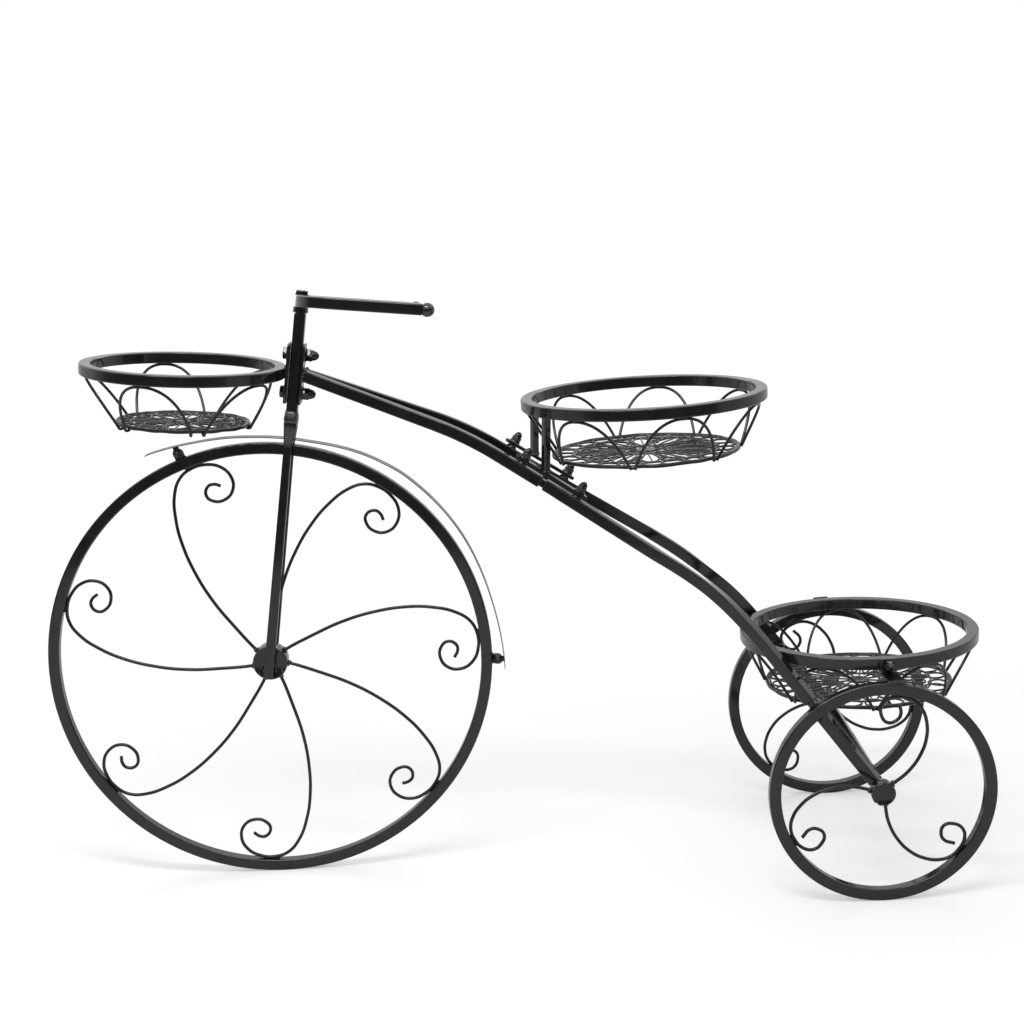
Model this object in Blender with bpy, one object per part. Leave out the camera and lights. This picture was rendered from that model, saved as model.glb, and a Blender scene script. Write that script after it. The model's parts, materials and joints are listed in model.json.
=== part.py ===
"""Bicycle planter: a plant stand of black painted steel shaped like an old tricycle.

Metres, +Z up, +X from the front wheel to the rear wheels, +Y away from the viewer.
The origin is on the ground under the middle of the stand's length.
"""

import math

import bmesh
import bpy
from mathutils import Matrix, Vector

for old in list(bpy.data.objects):
    bpy.data.objects.remove(old, do_unlink=True)

# Clearance between neighbouring pieces, how far a drill runs past what it cuts, and
# how deep a welded shape is sunk into its carrier
GAP = 0.0003
OVERRUN = 0.002
WELD_DEPTH = 0.0005

# Stock
TUBE_WIDTH = 0.010
TUBE_WALL = 0.001
SCROLL_WIRE_RADIUS = 0.0015
ARCH_WIRE_RADIUS = 0.0013

# Wheels
FRONT_WHEEL_RADIUS = 0.200
FRONT_HUB_RADIUS = 0.0155
FRONT_HUB_LENGTH = 0.018
REAR_WHEEL_RADIUS = 0.0964
REAR_HUB_RADIUS = 0.010
REAR_HUB_LENGTH = 0.0132
WHEELBASE = 0.5255
REAR_TRACK = 0.2568
FRONT_RIM_SEGMENTS = 72
REAR_RIM_SEGMENTS = 48

# Pot baskets
BASKET_SEGMENTS = 48
HOOP_SEGMENTS = 36
FRONT_RING_RADIUS = 0.0892
FRONT_FLOOR_RADIUS = 0.0589
FRONT_BASKET_DEPTH = 0.0466
FRONT_BASKET_SLOPE = math.radians(4.9)
FRONT_RING_HEIGHT_ON_PLATE = 0.0261
FRONT_FOOT_SPACING = 0.0115
MIDDLE_RING_RADIUS = 0.1081
MIDDLE_FLOOR_RADIUS = 0.0835
MIDDLE_BASKET_DEPTH = 0.0474
MIDDLE_BASKET_SHARE = 0.6548  # of the wheelbase, from the front axle
MIDDLE_RING_RISE = 0.0663
MIDDLE_BASKET_SLOPE = math.radians(-1.0)
REAR_BASKET_TAPER = 0.0225
REAR_BASKET_DEPTH = 0.0455
REAR_BASKET_BEHIND_AXLE = 0.0059
REAR_BASKET_ABOVE_WHEELS = 0.0085
FLOOR_HOOP_WIDTH = 0.0036
FLOOR_THICKNESS = 0.0025
FLOOR_RIM_WIDTH = 0.0030

# Steerer, fork and clamp, along the leaning steering axis
STEERING_LEAN = math.radians(8.83)
CROWN_ABOVE_RIM = 0.0258
STEERER_LENGTH = 0.0898
COLLAR_HEIGHT = 0.005
COLLAR_RADIUS = 0.0068
COLLAR_PLUG_LENGTH = 0.012
FORK_CROWN_HEIGHT = 0.005
FORK_CROWN_SPAN = 0.0152
FORK_LEG_THICKNESS = 0.005
FORK_TOP_SPREAD = 0.005
FORK_SHOULDER_DROP = 0.0254
FORK_TOP_WIDTH = 0.0116
FORK_NECK_WIDTH = 0.0072
FORK_TIP_WIDTH = 0.009
FORK_TIP_BELOW_HUB = 0.0135
PLATE_ABOVE_CROWN = 0.0102
PLATE_HEIGHT = 0.053
PLATE_WIDTH = 0.022
FRONT_PLATE_THICKNESS = 0.0025
REAR_PLATE_THICKNESS = 0.002
CLAMP_BOLT_MARGIN = 0.0095

# Handlebar
HANDLEBAR_WIDTH = 0.0096
HANDLEBAR_WALL = 0.001
HANDLEBAR_HALF_SPAN = 0.080
HANDLEBAR_REACH = 0.100
HANDLEBAR_RISE = 0.0032
HANDLEBAR_BEND_RADIUS = 0.034
HANDLEBAR_SEAT_LENGTH = 0.016
HANDLEBAR_YAW = math.radians(5.4)
HANDLEBAR_ROLL = math.radians(5.5)
BALL_RADIUS = 0.0061
BALL_SEAT_RADIUS = 0.0040

# Frame tubes, side view: corners of the route, from the rear clamp plate to the rear axle
FIRST_CORNER_AHEAD_OF_STRAP = 0.0628
FIRST_CORNER_DROP = 0.0576
SECOND_CORNER_AHEAD_OF_AXLE = 0.1184
SECOND_CORNER_ABOVE_RING = 0.0506
TUBE_START_HEIGHT = 0.0262
FIRST_BEND_RADIUS = 0.31
SECOND_BEND_RADIUS = 0.35
# Frame tubes, plan view: half spread at places along the route
NECK_HALF_SPREAD = 0.0059
WAIST_SHARE = 0.3235  # of the wheelbase, from the front axle
WAIST_HALF_SPREAD = 0.0228
BRACKET_BEHIND_STRAP = 0.0115
BRACKET_HALF_SPREAD = 0.0310
SEAT_BEHIND_BASKET = 0.0059
SEAT_HALF_SPREAD = 0.0492
FLARE_AHEAD_OF_AXLE = 0.1195
FLARE_HALF_SPREAD = 0.0505
REAR_RING_CLEARANCE = 0.0012
PLAN_BEND_RADIUS = 0.06
TUBE_STEP = 0.018
FIRST_JOINT_BEHIND_STRAP = 0.0011
SECOND_JOINT_AHEAD_OF_AXLE = 0.0520
JOINT_SEAM = 0.0036
PLUG_DEPTH = 0.012

# Bracket that carries the middle basket on the frame tubes
STRAP_LENGTH = 0.072
STRAP_WIDTH = 0.008
STRAP_THICKNESS = 0.003
STRAP_AHEAD_OF_BASKET = 0.0936
STRAP_SKEW = 0.004
STUD_SPACING = 0.056
POST_WIDTH = 0.0063
POST_TURN = math.radians(30)
POST_TOP_AHEAD_OF_BASKET = 0.0911
POST_TOP_HALF_SPREAD = 0.0460

# Fasteners
BOLT_RADIUS = 0.003
BOLT_HEAD_ACROSS_FLATS = 0.010
BOLT_HEAD_HEIGHT = 0.004
HEAD_FLAT_SHARE = 0.8
HEAD_TOP_SHARE = 0.92
CLAMP_NUT_HEIGHT = 0.012
STUD_RADIUS = 0.0023
STUD_NUT_ACROSS_FLATS = 0.008
STUD_NUT_HEIGHT = 0.010
NUT_FLANGE_HEIGHT = 0.0012
NUT_FLANGE_SHARE = 1.12
STUD_SHOULDER_HEIGHT = 0.002
STUD_SHOULDER_RIM = 0.0012
NUT_HEX_SHARE = 0.52
NUT_BORE_SHARE = 0.68
FACETS = 12
ROUND_FACETS = 8

# Ties between the rear basket and the rear wheels
TIE_WIDTH = 0.014
TIE_THICKNESS = 0.002
TIE_REACH = 0.0274
TIE_NEAR_TURN = math.radians(2.1)
TIE_FAR_TURN = math.radians(7.7)

# Fender over the front wheel
FENDER_THICKNESS = 0.0008
FENDER_WIDTH = 0.012
FENDER_LIFT = 0.0157
FENDER_LUG_WIDTH = 0.009
FENDER_LUG_THICKNESS = 0.002
FENDER_LUG_HEIGHT = 0.0086
FENDER_BOLT_HEIGHT = 0.0051
FENDER_BOLT_RADIUS = 0.0018
FENDER_NUT_ACROSS_FLATS = 0.0072
FENDER_NUT_HEIGHT = 0.0066
FENDER_FRONT_FIXING = math.radians(109.2)
FENDER_REAR_FIXING = math.radians(-2.1)

# Scrolls: each point is across and out from the hub, as shares of the reach to the rim
FRONT_SCROLL_SHARES = (
    (0.050, 0.085), (0.100, 0.215), (0.150, 0.370), (0.178, 0.530), (0.182, 0.680),
    (0.165, 0.800), (0.125, 0.912), (0.070, 0.977), (0.003, 1.000), (-0.060, 0.996),
    (-0.125, 0.962), (-0.156, 0.900), (-0.140, 0.838), (-0.088, 0.808), (-0.035, 0.820),
    (-0.013, 0.855), (-0.035, 0.893), (-0.065, 0.895), (-0.095, 0.876),
)
FRONT_SCROLL_ANGLES = (4.5, 55.0, 107.5, 161.5, 216.5, 266.5, 318.5)
REAR_SCROLL_SHARES = (
    (0.100, 0.090), (0.203, 0.260), (0.285, 0.470), (0.297, 0.640), (0.262, 0.790),
    (0.185, 0.915), (0.085, 0.985), (-0.030, 1.000), (-0.155, 0.965), (-0.218, 0.880),
    (-0.200, 0.780), (-0.125, 0.715), (-0.045, 0.745), (-0.010, 0.815), (-0.050, 0.925),
)
NEAR_SCROLL_ANGLES = (76.5, 205.5, 318.0)
FAR_SCROLL_ANGLES = (110.5, 230.5, 350.5)

# Fender: angle round the wheel in degrees, and lift off the rim as a share of the full lift
FENDER_SHARES = (
    (116.6, 1.00), (112.6, 0.84), (108.7, 0.70), (104.9, 0.57), (100.0, 0.465), (95.0, 0.38),
    (90.6, 0.30), (83.5, 0.265), (76.5, 0.26), (71.8, 0.33), (67.0, 0.43), (62.5, 0.51),
    (57.8, 0.56), (53.0, 0.62), (43.5, 0.59), (38.7, 0.58), (31.0, 0.54), (24.0, 0.48),
    (19.0, 0.45), (14.0, 0.44), (8.5, 0.48), (3.6, 0.55), (-0.5, 0.63), (-4.5, 0.72),
)

# Dome of an acorn nut: radius as a share of the hexagon's, height as a share of the dome's
DOME_SHARES = ((0.93, 0.0), (0.80, 0.62), (0.36, 1.0))

# Floor rosette: petals and round eyes, radii as shares of the floor's radius
PETAL_SHARES = ((0.27, 0.0), (0.40, 0.85), (0.53, 0.90), (0.625, 0.0))
PETAL_WIDTH_SHARE = 0.36
EYE_CENTRE_SHARE = 0.79
EYE_RADIUS_SHARE = 0.125

# Places that follow from the sizes above, with X counted from the front axle
half_tube = TUBE_WIDTH / 2
rear_wheel_y = REAR_TRACK / 2
hub_inner_y = rear_wheel_y - REAR_HUB_LENGTH / 2
rear_ring_radius = rear_wheel_y + half_tube - TIE_REACH
rear_basket_x = WHEELBASE + REAR_BASKET_BEHIND_AXLE
rear_basket_z = 2 * REAR_WHEEL_RADIUS + REAR_BASKET_ABOVE_WHEELS
rear_end_x = rear_basket_x + rear_ring_radius
front_axle_x = -(rear_end_x - FRONT_WHEEL_RADIUS) / 2

# The steering frame, and the corners of the frame tubes' side view
steering_frame = Matrix.Translation((0, 0, FRONT_WHEEL_RADIUS)) @ Matrix.Rotation(STEERING_LEAN, 4, "Y")
steerer_bottom = FRONT_WHEEL_RADIUS + CROWN_ABOVE_RIM
plate_bottom = steerer_bottom + PLATE_ABOVE_CROWN
plate_rear_x = half_tube + GAP + REAR_PLATE_THICKNESS
tube_start = steering_frame @ Vector((plate_rear_x + GAP, 0, plate_bottom + TUBE_START_HEIGHT))
middle_basket_x = WHEELBASE * MIDDLE_BASKET_SHARE
strap_centre_x = middle_basket_x - STRAP_AHEAD_OF_BASKET
first_corner_x = strap_centre_x - FIRST_CORNER_AHEAD_OF_STRAP
first_corner_z = tube_start.z - FIRST_CORNER_DROP
second_corner_x = WHEELBASE - SECOND_CORNER_AHEAD_OF_AXLE
second_corner_z = rear_basket_z + SECOND_CORNER_ABOVE_RING

# The middle basket, as far above the straight of the tubes as its posts hold it
tube_slope = (first_corner_z - second_corner_z) / (second_corner_x - first_corner_x)
straight_z = first_corner_z - (strap_centre_x - first_corner_x) * tube_slope
middle_basket_z = straight_z + MIDDLE_RING_RISE


def empty(name, parent=None, location=(0, 0, 0), rotation=(0, 0, 0)):
    """Named place that pieces are parented to."""
    place = bpy.data.objects.new(name, None)
    place.location = location
    place.rotation_euler = rotation
    place.parent = parent
    bpy.context.scene.collection.objects.link(place)
    return place


def paint(name, grey, roughness, metallic=0.0):
    """Gloss black powder coat, a little lighter on some pieces."""
    finish = bpy.data.materials.new(name)
    finish.use_nodes = True
    shader = finish.node_tree.nodes["Principled BSDF"]
    shader.inputs["Base Color"].default_value = (grey, grey, grey, 1)
    shader.inputs["Roughness"].default_value = roughness
    shader.inputs["Metallic"].default_value = metallic
    return finish


def place_piece(name, data, parent, location=(0, 0, 0), rotation=(0, 0, 0), grey=0.012, roughness=0.28):
    """One sub-part under its own name, with its own material."""
    piece = bpy.data.objects.new(name, data)
    bpy.context.scene.collection.objects.link(piece)
    piece.parent = parent
    piece.location = location
    piece.rotation_euler = rotation
    data.materials.append(paint(name + "_paint", grey, roughness))
    return piece


def finished(bm, name, sharp=math.radians(40)):
    """Mesh of a finished shape, faces outward and shaded smooth."""
    bmesh.ops.recalc_face_normals(bm, faces=bm.faces)
    mesh = bpy.data.meshes.new(name)
    bm.to_mesh(mesh)
    bm.free()
    mesh.shade_smooth()
    mesh.set_sharp_from_angle(angle=sharp)
    return mesh


def add_loop(bm, points):
    """Closed loop of vertices and edges."""
    verts = [bm.verts.new(point) for point in points]
    edges = [bm.edges.new((verts[i - 1], verts[i])) for i in range(len(verts))]
    return verts, edges


def square_points(width, height):
    """Corners of a rectangular section, across and up."""
    x = width / 2
    y = height / 2
    return [(-x, -y, 0), (x, -y, 0), (x, y, 0), (-x, y, 0)]


def carried(section, stations):
    """A section's loops at the stations, which are matrices."""
    return [[station @ Vector(point) for point in section] for station in stations]


def solid_bar(bm, section, stations):
    """Section carried through the stations, both ends closed."""
    lathe(bm, carried(section, stations))


def hollow_bar(bm, width, wall, stations):
    """Square tube, open at both ends: out along its outside and back along its bore."""
    bore = width - 2 * wall
    outside = carried(square_points(width, width), stations)
    inside = carried(square_points(bore, bore), stations)
    lathe(bm, outside + inside[::-1], closed=True)


def trim(verts, direction, point, normal):
    """Slide end vertices along the bar onto a plane."""
    for vert in verts:
        vert.co += direction * ((point - vert.co).dot(normal) / direction.dot(normal))


def nearest_verts(bm, point, count):
    """The vertices of the end that lies nearest to a point."""
    return sorted(bm.verts, key=lambda vert: (vert.co - point).length)[:count]


def ring_of_bar(radius, width, segments, name):
    """Square bar bent into a closed ring round Z, with a vertex at every quarter."""
    bm = bmesh.new()
    half = width / 2
    section = [(radius, 0, -half), (radius, 0, half), (radius - width, 0, half), (radius - width, 0, -half)]
    verts, edges = add_loop(bm, section)
    bmesh.ops.spin(
        bm, geom=verts + edges, cent=(0, 0, 0), axis=(0, 0, 1), angle=math.tau, steps=segments, use_merge=True
    )
    return finished(bm, name)


def corner_circle(radius, z, hexagon=False, facets=FACETS):
    """Loop of points, round, or hexagonal with the flats' middles pulled in."""
    points = []
    for i in range(facets):
        pull = math.cos(math.pi / 6) if hexagon and i % 2 else 1
        angle = math.tau * i / facets
        points.append(Vector((radius * pull * math.cos(angle), radius * pull * math.sin(angle), z)))
    return points


def lathe(bm, loops, place=Matrix(), closed=False):
    """Skin over loops of equal count; closed joins the last to the first, else both ends are capped."""
    rows = [[bm.verts.new(place @ point) for point in loop] for loop in loops]
    pairs = list(zip(rows, rows[1:]))
    if closed:
        pairs.append((rows[-1], rows[0]))
    for low, high in pairs:
        for i in range(len(low)):
            bm.faces.new((low[i - 1], low[i], high[i], high[i - 1]))
    if not closed:
        bm.faces.new(rows[0])
        bm.faces.new(rows[-1])


def hex_radius(across_flats):
    """Corner radius of a hexagon."""
    return across_flats / 2 / math.cos(math.pi / 6)


def hex_bolt(name, parent, across_flats, head_height, radius, length, place):
    """Bolt with its head above the place and its shank below."""
    bm = bmesh.new()
    head = hex_radius(across_flats)
    lathe(bm, [
        corner_circle(radius, -length),
        corner_circle(radius, 0),
        corner_circle(head, 0, hexagon=True),
        corner_circle(head, head_height * HEAD_FLAT_SHARE, hexagon=True),
        corner_circle(across_flats / 2 * HEAD_TOP_SHARE, head_height),
    ], place)
    return place_piece(name, finished(bm, name), parent)


def cap_nut(name, parent, across_flats, height, bore, place):
    """Acorn nut with a washer face, seat at the place, blind bore open downward."""
    bm = bmesh.new()
    corner = hex_radius(across_flats)
    hex_height = height * NUT_HEX_SHARE
    flange = corner * NUT_FLANGE_SHARE
    loops = [
        corner_circle(bore, height * NUT_BORE_SHARE),
        corner_circle(bore, 0),
        corner_circle(flange, 0),
        corner_circle(flange, NUT_FLANGE_HEIGHT),
        corner_circle(corner, NUT_FLANGE_HEIGHT, hexagon=True),
        corner_circle(corner, hex_height, hexagon=True),
    ]
    for radius_share, height_share in DOME_SHARES:
        level = hex_height + (height - hex_height) * height_share
        loops.append(corner_circle(across_flats / 2 * radius_share, level))
    lathe(bm, loops, place)
    return place_piece(name, finished(bm, name), parent)


def stud(bm, radius, length, place, shoulder_height=0):
    """Weld stud standing on the place, its foot sunk, with a shoulder where it has one."""
    rings = [(radius, -WELD_DEPTH), (radius, length)]
    if shoulder_height:
        wide = radius + GAP + STUD_SHOULDER_RIM
        rings = [(wide, -WELD_DEPTH), (wide, shoulder_height), (radius, shoulder_height), (radius, length)]
    lathe(bm, [corner_circle(ring, z, facets=ROUND_FACETS) for ring, z in rings], place)


def pierced_plate(bm, loops, thickness, place=Matrix()):
    """Flat plate, outline first and then its holes, from the place up by its thickness."""
    edges = []
    for loop in loops:
        edges += add_loop(bm, [place @ Vector(point) for point in loop])[1]
    faces = bmesh.ops.triangle_fill(bm, use_beauty=True, edges=edges)["geom"]
    faces = [part for part in faces if isinstance(part, bmesh.types.BMFace)]
    grown = bmesh.ops.extrude_face_region(bm, geom=faces)["geom"]
    verts = [part for part in grown if isinstance(part, bmesh.types.BMVert)]
    bmesh.ops.translate(bm, vec=place.to_3x3() @ Vector((0, 0, thickness)), verts=verts)


def box(bm, low, high, place=Matrix()):
    """Box between two corners."""
    size = Vector(high) - Vector(low)
    middle = (Vector(high) + Vector(low)) / 2
    shape = place @ Matrix.Translation(middle) @ Matrix.Diagonal((*size, 1))
    bmesh.ops.create_cube(bm, size=1, matrix=shape)


def wire(name, path, radius):
    """Bent wire with capped ends, as a bevelled curve."""
    curve = bpy.data.curves.new(name, "CURVE")
    curve.dimensions = "3D"
    curve.bevel_depth = radius
    curve.bevel_resolution = 0
    curve.use_fill_caps = True
    spline = curve.splines.new("POLY")
    spline.points.add(len(path) - 1)
    for point, place in zip(spline.points, path):
        point.co = (*place, 1)
    return curve


def combine(piece, bm, operation):
    """Join or cut a piece with a hidden helper shape in the piece's own frame."""
    name = "%s_helper_%d" % (piece.name, len(piece.modifiers) + 1)
    helper = bpy.data.objects.new(name, finished(bm, name))
    bpy.context.scene.collection.objects.link(helper)
    helper.parent = piece.parent
    helper.location = piece.location
    helper.rotation_euler = piece.rotation_euler
    helper.hide_render = True
    helper.display_type = "WIRE"
    step = piece.modifiers.new(operation.lower(), "BOOLEAN")
    step.operation = operation
    step.object = helper


def weld(piece, bm):
    """Join a shape to its piece."""
    combine(piece, bm, "UNION")


def drill(piece, radius, length, places):
    """Drill round holes, each centred on its place and running along its Z."""
    bm = bmesh.new()
    for place in places:
        lathe(bm, [corner_circle(radius, -length / 2), corner_circle(radius, length / 2)], place)
    combine(piece, bm, "DIFFERENCE")


stand = empty("stand", location=(front_axle_x, 0, 0))
front_axle = empty("front_axle", stand, (0, 0, FRONT_WHEEL_RADIUS))
steering = empty("steering", front_axle, rotation=(0, STEERING_LEAN, 0))


# Wheels

turned_upright = (math.pi / 2, 0, 0)


def scroll_path(angle, shares, hand, reach, hub_radius):
    """Centre line of one scroll: a short radial foot on the hub, then the S and its curl."""
    out = Vector((math.cos(angle), 0, math.sin(angle)))
    across = Vector((-math.sin(angle), 0, math.cos(angle))) * hand
    path = [across * (share[0] * reach) + out * (share[1] * reach) for share in shares]
    clear = hub_radius + GAP + SCROLL_WIRE_RADIUS
    path = [point for point in path if point.length > clear]
    return [path[0].normalized() * (hub_radius + GAP)] + path


def scrolls(name, parent, angles, shares, hand, wheel_radius, hub_radius, segments):
    """The scrolls of one wheel, each its own piece."""
    inner = (wheel_radius - TUBE_WIDTH) * math.cos(math.pi / segments)
    reach = inner - SCROLL_WIRE_RADIUS - GAP
    for number, angle in enumerate(angles, 1):
        path = scroll_path(math.radians(angle), shares, hand, reach, hub_radius)
        numbered = "%s_%d" % (name, number)
        place_piece(numbered, wire(numbered, path, SCROLL_WIRE_RADIUS), parent)


def wheel_hub(name, parent, radius, length):
    """Plain hub disc across the wheel."""
    bm = bmesh.new()
    sides = 24
    bmesh.ops.create_cone(bm, cap_ends=True, segments=sides, radius1=radius, radius2=radius, depth=length)
    return place_piece(name, finished(bm, name), parent, rotation=turned_upright)


front_rim = place_piece(
    "front_wheel_rim",
    ring_of_bar(FRONT_WHEEL_RADIUS, TUBE_WIDTH, FRONT_RIM_SEGMENTS, "front_wheel_rim"),
    front_axle, rotation=turned_upright,
)
wheel_hub("front_wheel_hub", front_axle, FRONT_HUB_RADIUS, FRONT_HUB_LENGTH)
scrolls(
    "front_wheel_scroll", front_axle, FRONT_SCROLL_ANGLES, FRONT_SCROLL_SHARES, 1,
    FRONT_WHEEL_RADIUS, FRONT_HUB_RADIUS, FRONT_RIM_SEGMENTS,
)
for side, sign, angles in (("left", -1, NEAR_SCROLL_ANGLES), ("right", 1, FAR_SCROLL_ANGLES)):
    wheel = empty("rear_wheel_" + side, stand, (WHEELBASE, sign * rear_wheel_y, REAR_WHEEL_RADIUS))
    rim_name = "rear_wheel_rim_" + side
    place_piece(
        rim_name, ring_of_bar(REAR_WHEEL_RADIUS, TUBE_WIDTH, REAR_RIM_SEGMENTS, rim_name),
        wheel, rotation=turned_upright,
    )
    wheel_hub("rear_wheel_hub_" + side, wheel, REAR_HUB_RADIUS, REAR_HUB_LENGTH)
    scrolls(
        "rear_wheel_scroll_" + side, wheel, angles, REAR_SCROLL_SHARES, -1,
        REAR_WHEEL_RADIUS, REAR_HUB_RADIUS, REAR_RIM_SEGMENTS,
    )


# Pot baskets

def arch_stations(centre, half_angle, ring_radius, foot_radius, depth):
    """Frames of one arch, from foot to foot over its crown under the ring."""
    steps = 8
    roundness = 2.3
    crown_radius = ring_radius - half_tube
    foot_z = -depth - FLOOR_HOOP_WIDTH / 2
    crown_z = -half_tube - GAP - ARCH_WIRE_RADIUS
    path = []
    for i in range(steps + 1):
        across = 2 * i / steps - 1
        rise = 1 - abs(across) ** roundness
        angle = centre + half_angle * across
        radius = foot_radius + (crown_radius - foot_radius) * rise
        level = foot_z + (crown_z - foot_z) * rise
        path.append(Vector((radius * math.cos(angle), radius * math.sin(angle), level)))
    outward = Vector((math.cos(centre), math.sin(centre), 0))
    stations = []
    for i, point in enumerate(path):
        along = (path[min(i + 1, steps)] - path[max(i - 1, 0)]).normalized()
        side = along.cross(outward).normalized()
        turn = Matrix((side, along.cross(side), along)).transposed().to_4x4()
        stations.append(Matrix.Translation(point) @ turn)
    return stations


def petal_loop(angle, radius, half_width):
    """Leaf-shaped hole that points outward."""
    out = Vector((math.cos(angle), math.sin(angle), 0))
    across = Vector((-out.y, out.x, 0))
    one_side = [out * (radius * r) + across * (half_width * w) for r, w in PETAL_SHARES]
    other_side = [out * (radius * r) - across * (half_width * w) for r, w in PETAL_SHARES[-2:0:-1]]
    return one_side + other_side


def eye_loop(angle, radius, eye_radius):
    """Round hole near the floor's rim."""
    sides = 6
    centre = Vector((math.cos(angle), math.sin(angle), 0)) * radius
    turns = [math.tau * i / sides + angle for i in range(sides)]
    return [centre + Vector((math.cos(turn), math.sin(turn), 0)) * eye_radius for turn in turns]


def rosette_floor(radius, sectors, name):
    """Open floor of petals and eyes inside a rim, round a plain disc."""
    bm = bmesh.new()
    turns = [math.tau * i / HOOP_SEGMENTS for i in range(HOOP_SEGMENTS)]
    loops = [[Vector((math.cos(turn), math.sin(turn), 0)) * radius for turn in turns]]
    pitch = math.tau / sectors
    open_radius = radius - FLOOR_RIM_WIDTH
    petal_half_width = open_radius * math.tan(pitch / 2) * PETAL_WIDTH_SHARE
    eye_centre = open_radius * EYE_CENTRE_SHARE
    for i in range(sectors):
        loops.append(petal_loop(i * pitch, open_radius, petal_half_width))
        loops.append(eye_loop((i + 0.5) * pitch, eye_centre, open_radius * EYE_RADIUS_SHARE))
    pierced_plate(bm, loops, FLOOR_THICKNESS, Matrix.Translation((0, 0, -FLOOR_THICKNESS / 2)))
    return finished(bm, name)


def basket(name, place, ring_radius, floor_radius, depth, arch_count, first_crown, foot_spacing, sectors):
    """Ring, arches on their hoop, and floor of one basket, round the ring's middle."""
    ring_mesh = ring_of_bar(ring_radius, TUBE_WIDTH, BASKET_SEGMENTS, name + "_ring")
    ring = place_piece(name + "_ring", ring_mesh, place)
    hoop_mesh = ring_of_bar(floor_radius, FLOOR_HOOP_WIDTH, HOOP_SEGMENTS, name + "_arches")
    hoop_mesh.transform(Matrix.Translation((0, 0, -depth)))
    hoop = place_piece(name + "_arches", hoop_mesh, place)
    pitch = math.tau / arch_count
    foot_radius = (floor_radius + ARCH_WIRE_RADIUS) * math.cos(math.pi / HOOP_SEGMENTS) - WELD_DEPTH
    half_angle = pitch / 2 - foot_spacing / 2 / foot_radius
    arches_bm = bmesh.new()
    wire = ARCH_WIRE_RADIUS
    diamond = [(wire, 0, 0), (0, wire, 0), (-wire, 0, 0), (0, -wire, 0)]
    for i in range(arch_count):
        crown = first_crown + i * pitch
        solid_bar(arches_bm, diamond, arch_stations(crown, half_angle, ring_radius, foot_radius, depth))
    weld(hoop, arches_bm)
    inner_radius = (floor_radius - FLOOR_HOOP_WIDTH) * math.cos(math.pi / HOOP_SEGMENTS) - GAP
    place_piece(
        name + "_floor", rosette_floor(inner_radius, sectors, name + "_floor"), place,
        location=(0, 0, -depth), grey=0.03, roughness=0.35,
    )
    return ring


touching_feet = 2 * ARCH_WIRE_RADIUS + 2 * GAP
plate_front_x = -(half_tube + GAP + FRONT_PLATE_THICKNESS)
ring_lean = FRONT_BASKET_SLOPE - STEERING_LEAN
ring_reach = FRONT_RING_RADIUS * math.cos(ring_lean) + half_tube * abs(math.sin(ring_lean))
front_ring_x = plate_front_x - GAP - ring_reach
front_ring_z = plate_bottom + FRONT_RING_HEIGHT_ON_PLATE + FRONT_RING_RADIUS * math.sin(ring_lean)
front_basket = empty("front_basket", steering, (front_ring_x, 0, front_ring_z), (0, ring_lean, 0))
basket(
    "front_basket", front_basket, FRONT_RING_RADIUS, FRONT_FLOOR_RADIUS, FRONT_BASKET_DEPTH,
    5, math.radians(255.5), FRONT_FOOT_SPACING, 10,
)
middle_basket = empty(
    "middle_basket", stand, (middle_basket_x, 0, middle_basket_z), (0, MIDDLE_BASKET_SLOPE, 0)
)
basket(
    "middle_basket", middle_basket, MIDDLE_RING_RADIUS, MIDDLE_FLOOR_RADIUS, MIDDLE_BASKET_DEPTH,
    7, math.radians(232), touching_feet, 12,
)
rear_basket = empty("rear_basket", stand, (rear_basket_x, 0, rear_basket_z))
rear_ring = basket(
    "rear_basket", rear_basket, rear_ring_radius, rear_ring_radius - REAR_BASKET_TAPER, REAR_BASKET_DEPTH,
    7, math.radians(37), touching_feet, 12,
)


# Steerer, fork and clamp, in the leaning frame of the steering axis

bolt_hole_radius = BOLT_RADIUS + GAP
steerer_top = steerer_bottom + STEERER_LENGTH
clamp_levels = (plate_bottom + CLAMP_BOLT_MARGIN, plate_bottom + PLATE_HEIGHT - CLAMP_BOLT_MARGIN)
facing_rear = Matrix.Rotation(math.pi / 2, 4, "Y")
facing_front = Matrix.Rotation(-math.pi / 2, 4, "Y")

steerer_bm = bmesh.new()
hollow_bar(steerer_bm, TUBE_WIDTH, TUBE_WALL, [
    Matrix.Translation((0, 0, steerer_bottom)), Matrix.Translation((0, 0, steerer_top)),
])
steerer = place_piece("steerer_tube", finished(steerer_bm, "steerer_tube"), steering)
crown_bottom = steerer_bottom - FORK_CROWN_HEIGHT
crown_bm = bmesh.new()
box(
    crown_bm,
    (-FORK_TOP_WIDTH / 2, -FORK_CROWN_SPAN / 2, crown_bottom),
    (FORK_TOP_WIDTH / 2, FORK_CROWN_SPAN / 2, steerer_bottom + WELD_DEPTH),
)
weld(steerer, crown_bm)
bolt_places = [Matrix.Translation((0, 0, level)) @ facing_rear for level in clamp_levels]
drill(steerer, bolt_hole_radius, TUBE_WIDTH + 2 * OVERRUN, bolt_places)

collar_bm = bmesh.new()
plug_width = TUBE_WIDTH - 2 * TUBE_WALL - 2 * GAP
plug_radius = plug_width / 2
collar_bottom = steerer_top + GAP
collar_top = collar_bottom + COLLAR_HEIGHT
lathe(collar_bm, [
    corner_circle(bolt_hole_radius, collar_top),
    corner_circle(bolt_hole_radius, collar_bottom - COLLAR_PLUG_LENGTH),
    corner_circle(plug_radius, collar_bottom - COLLAR_PLUG_LENGTH),
    corner_circle(plug_radius, collar_bottom),
    corner_circle(COLLAR_RADIUS, collar_bottom),
    corner_circle(COLLAR_RADIUS, collar_top),
], closed=True)
place_piece("steerer_collar", finished(collar_bm, "steerer_collar"), steering)


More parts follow.
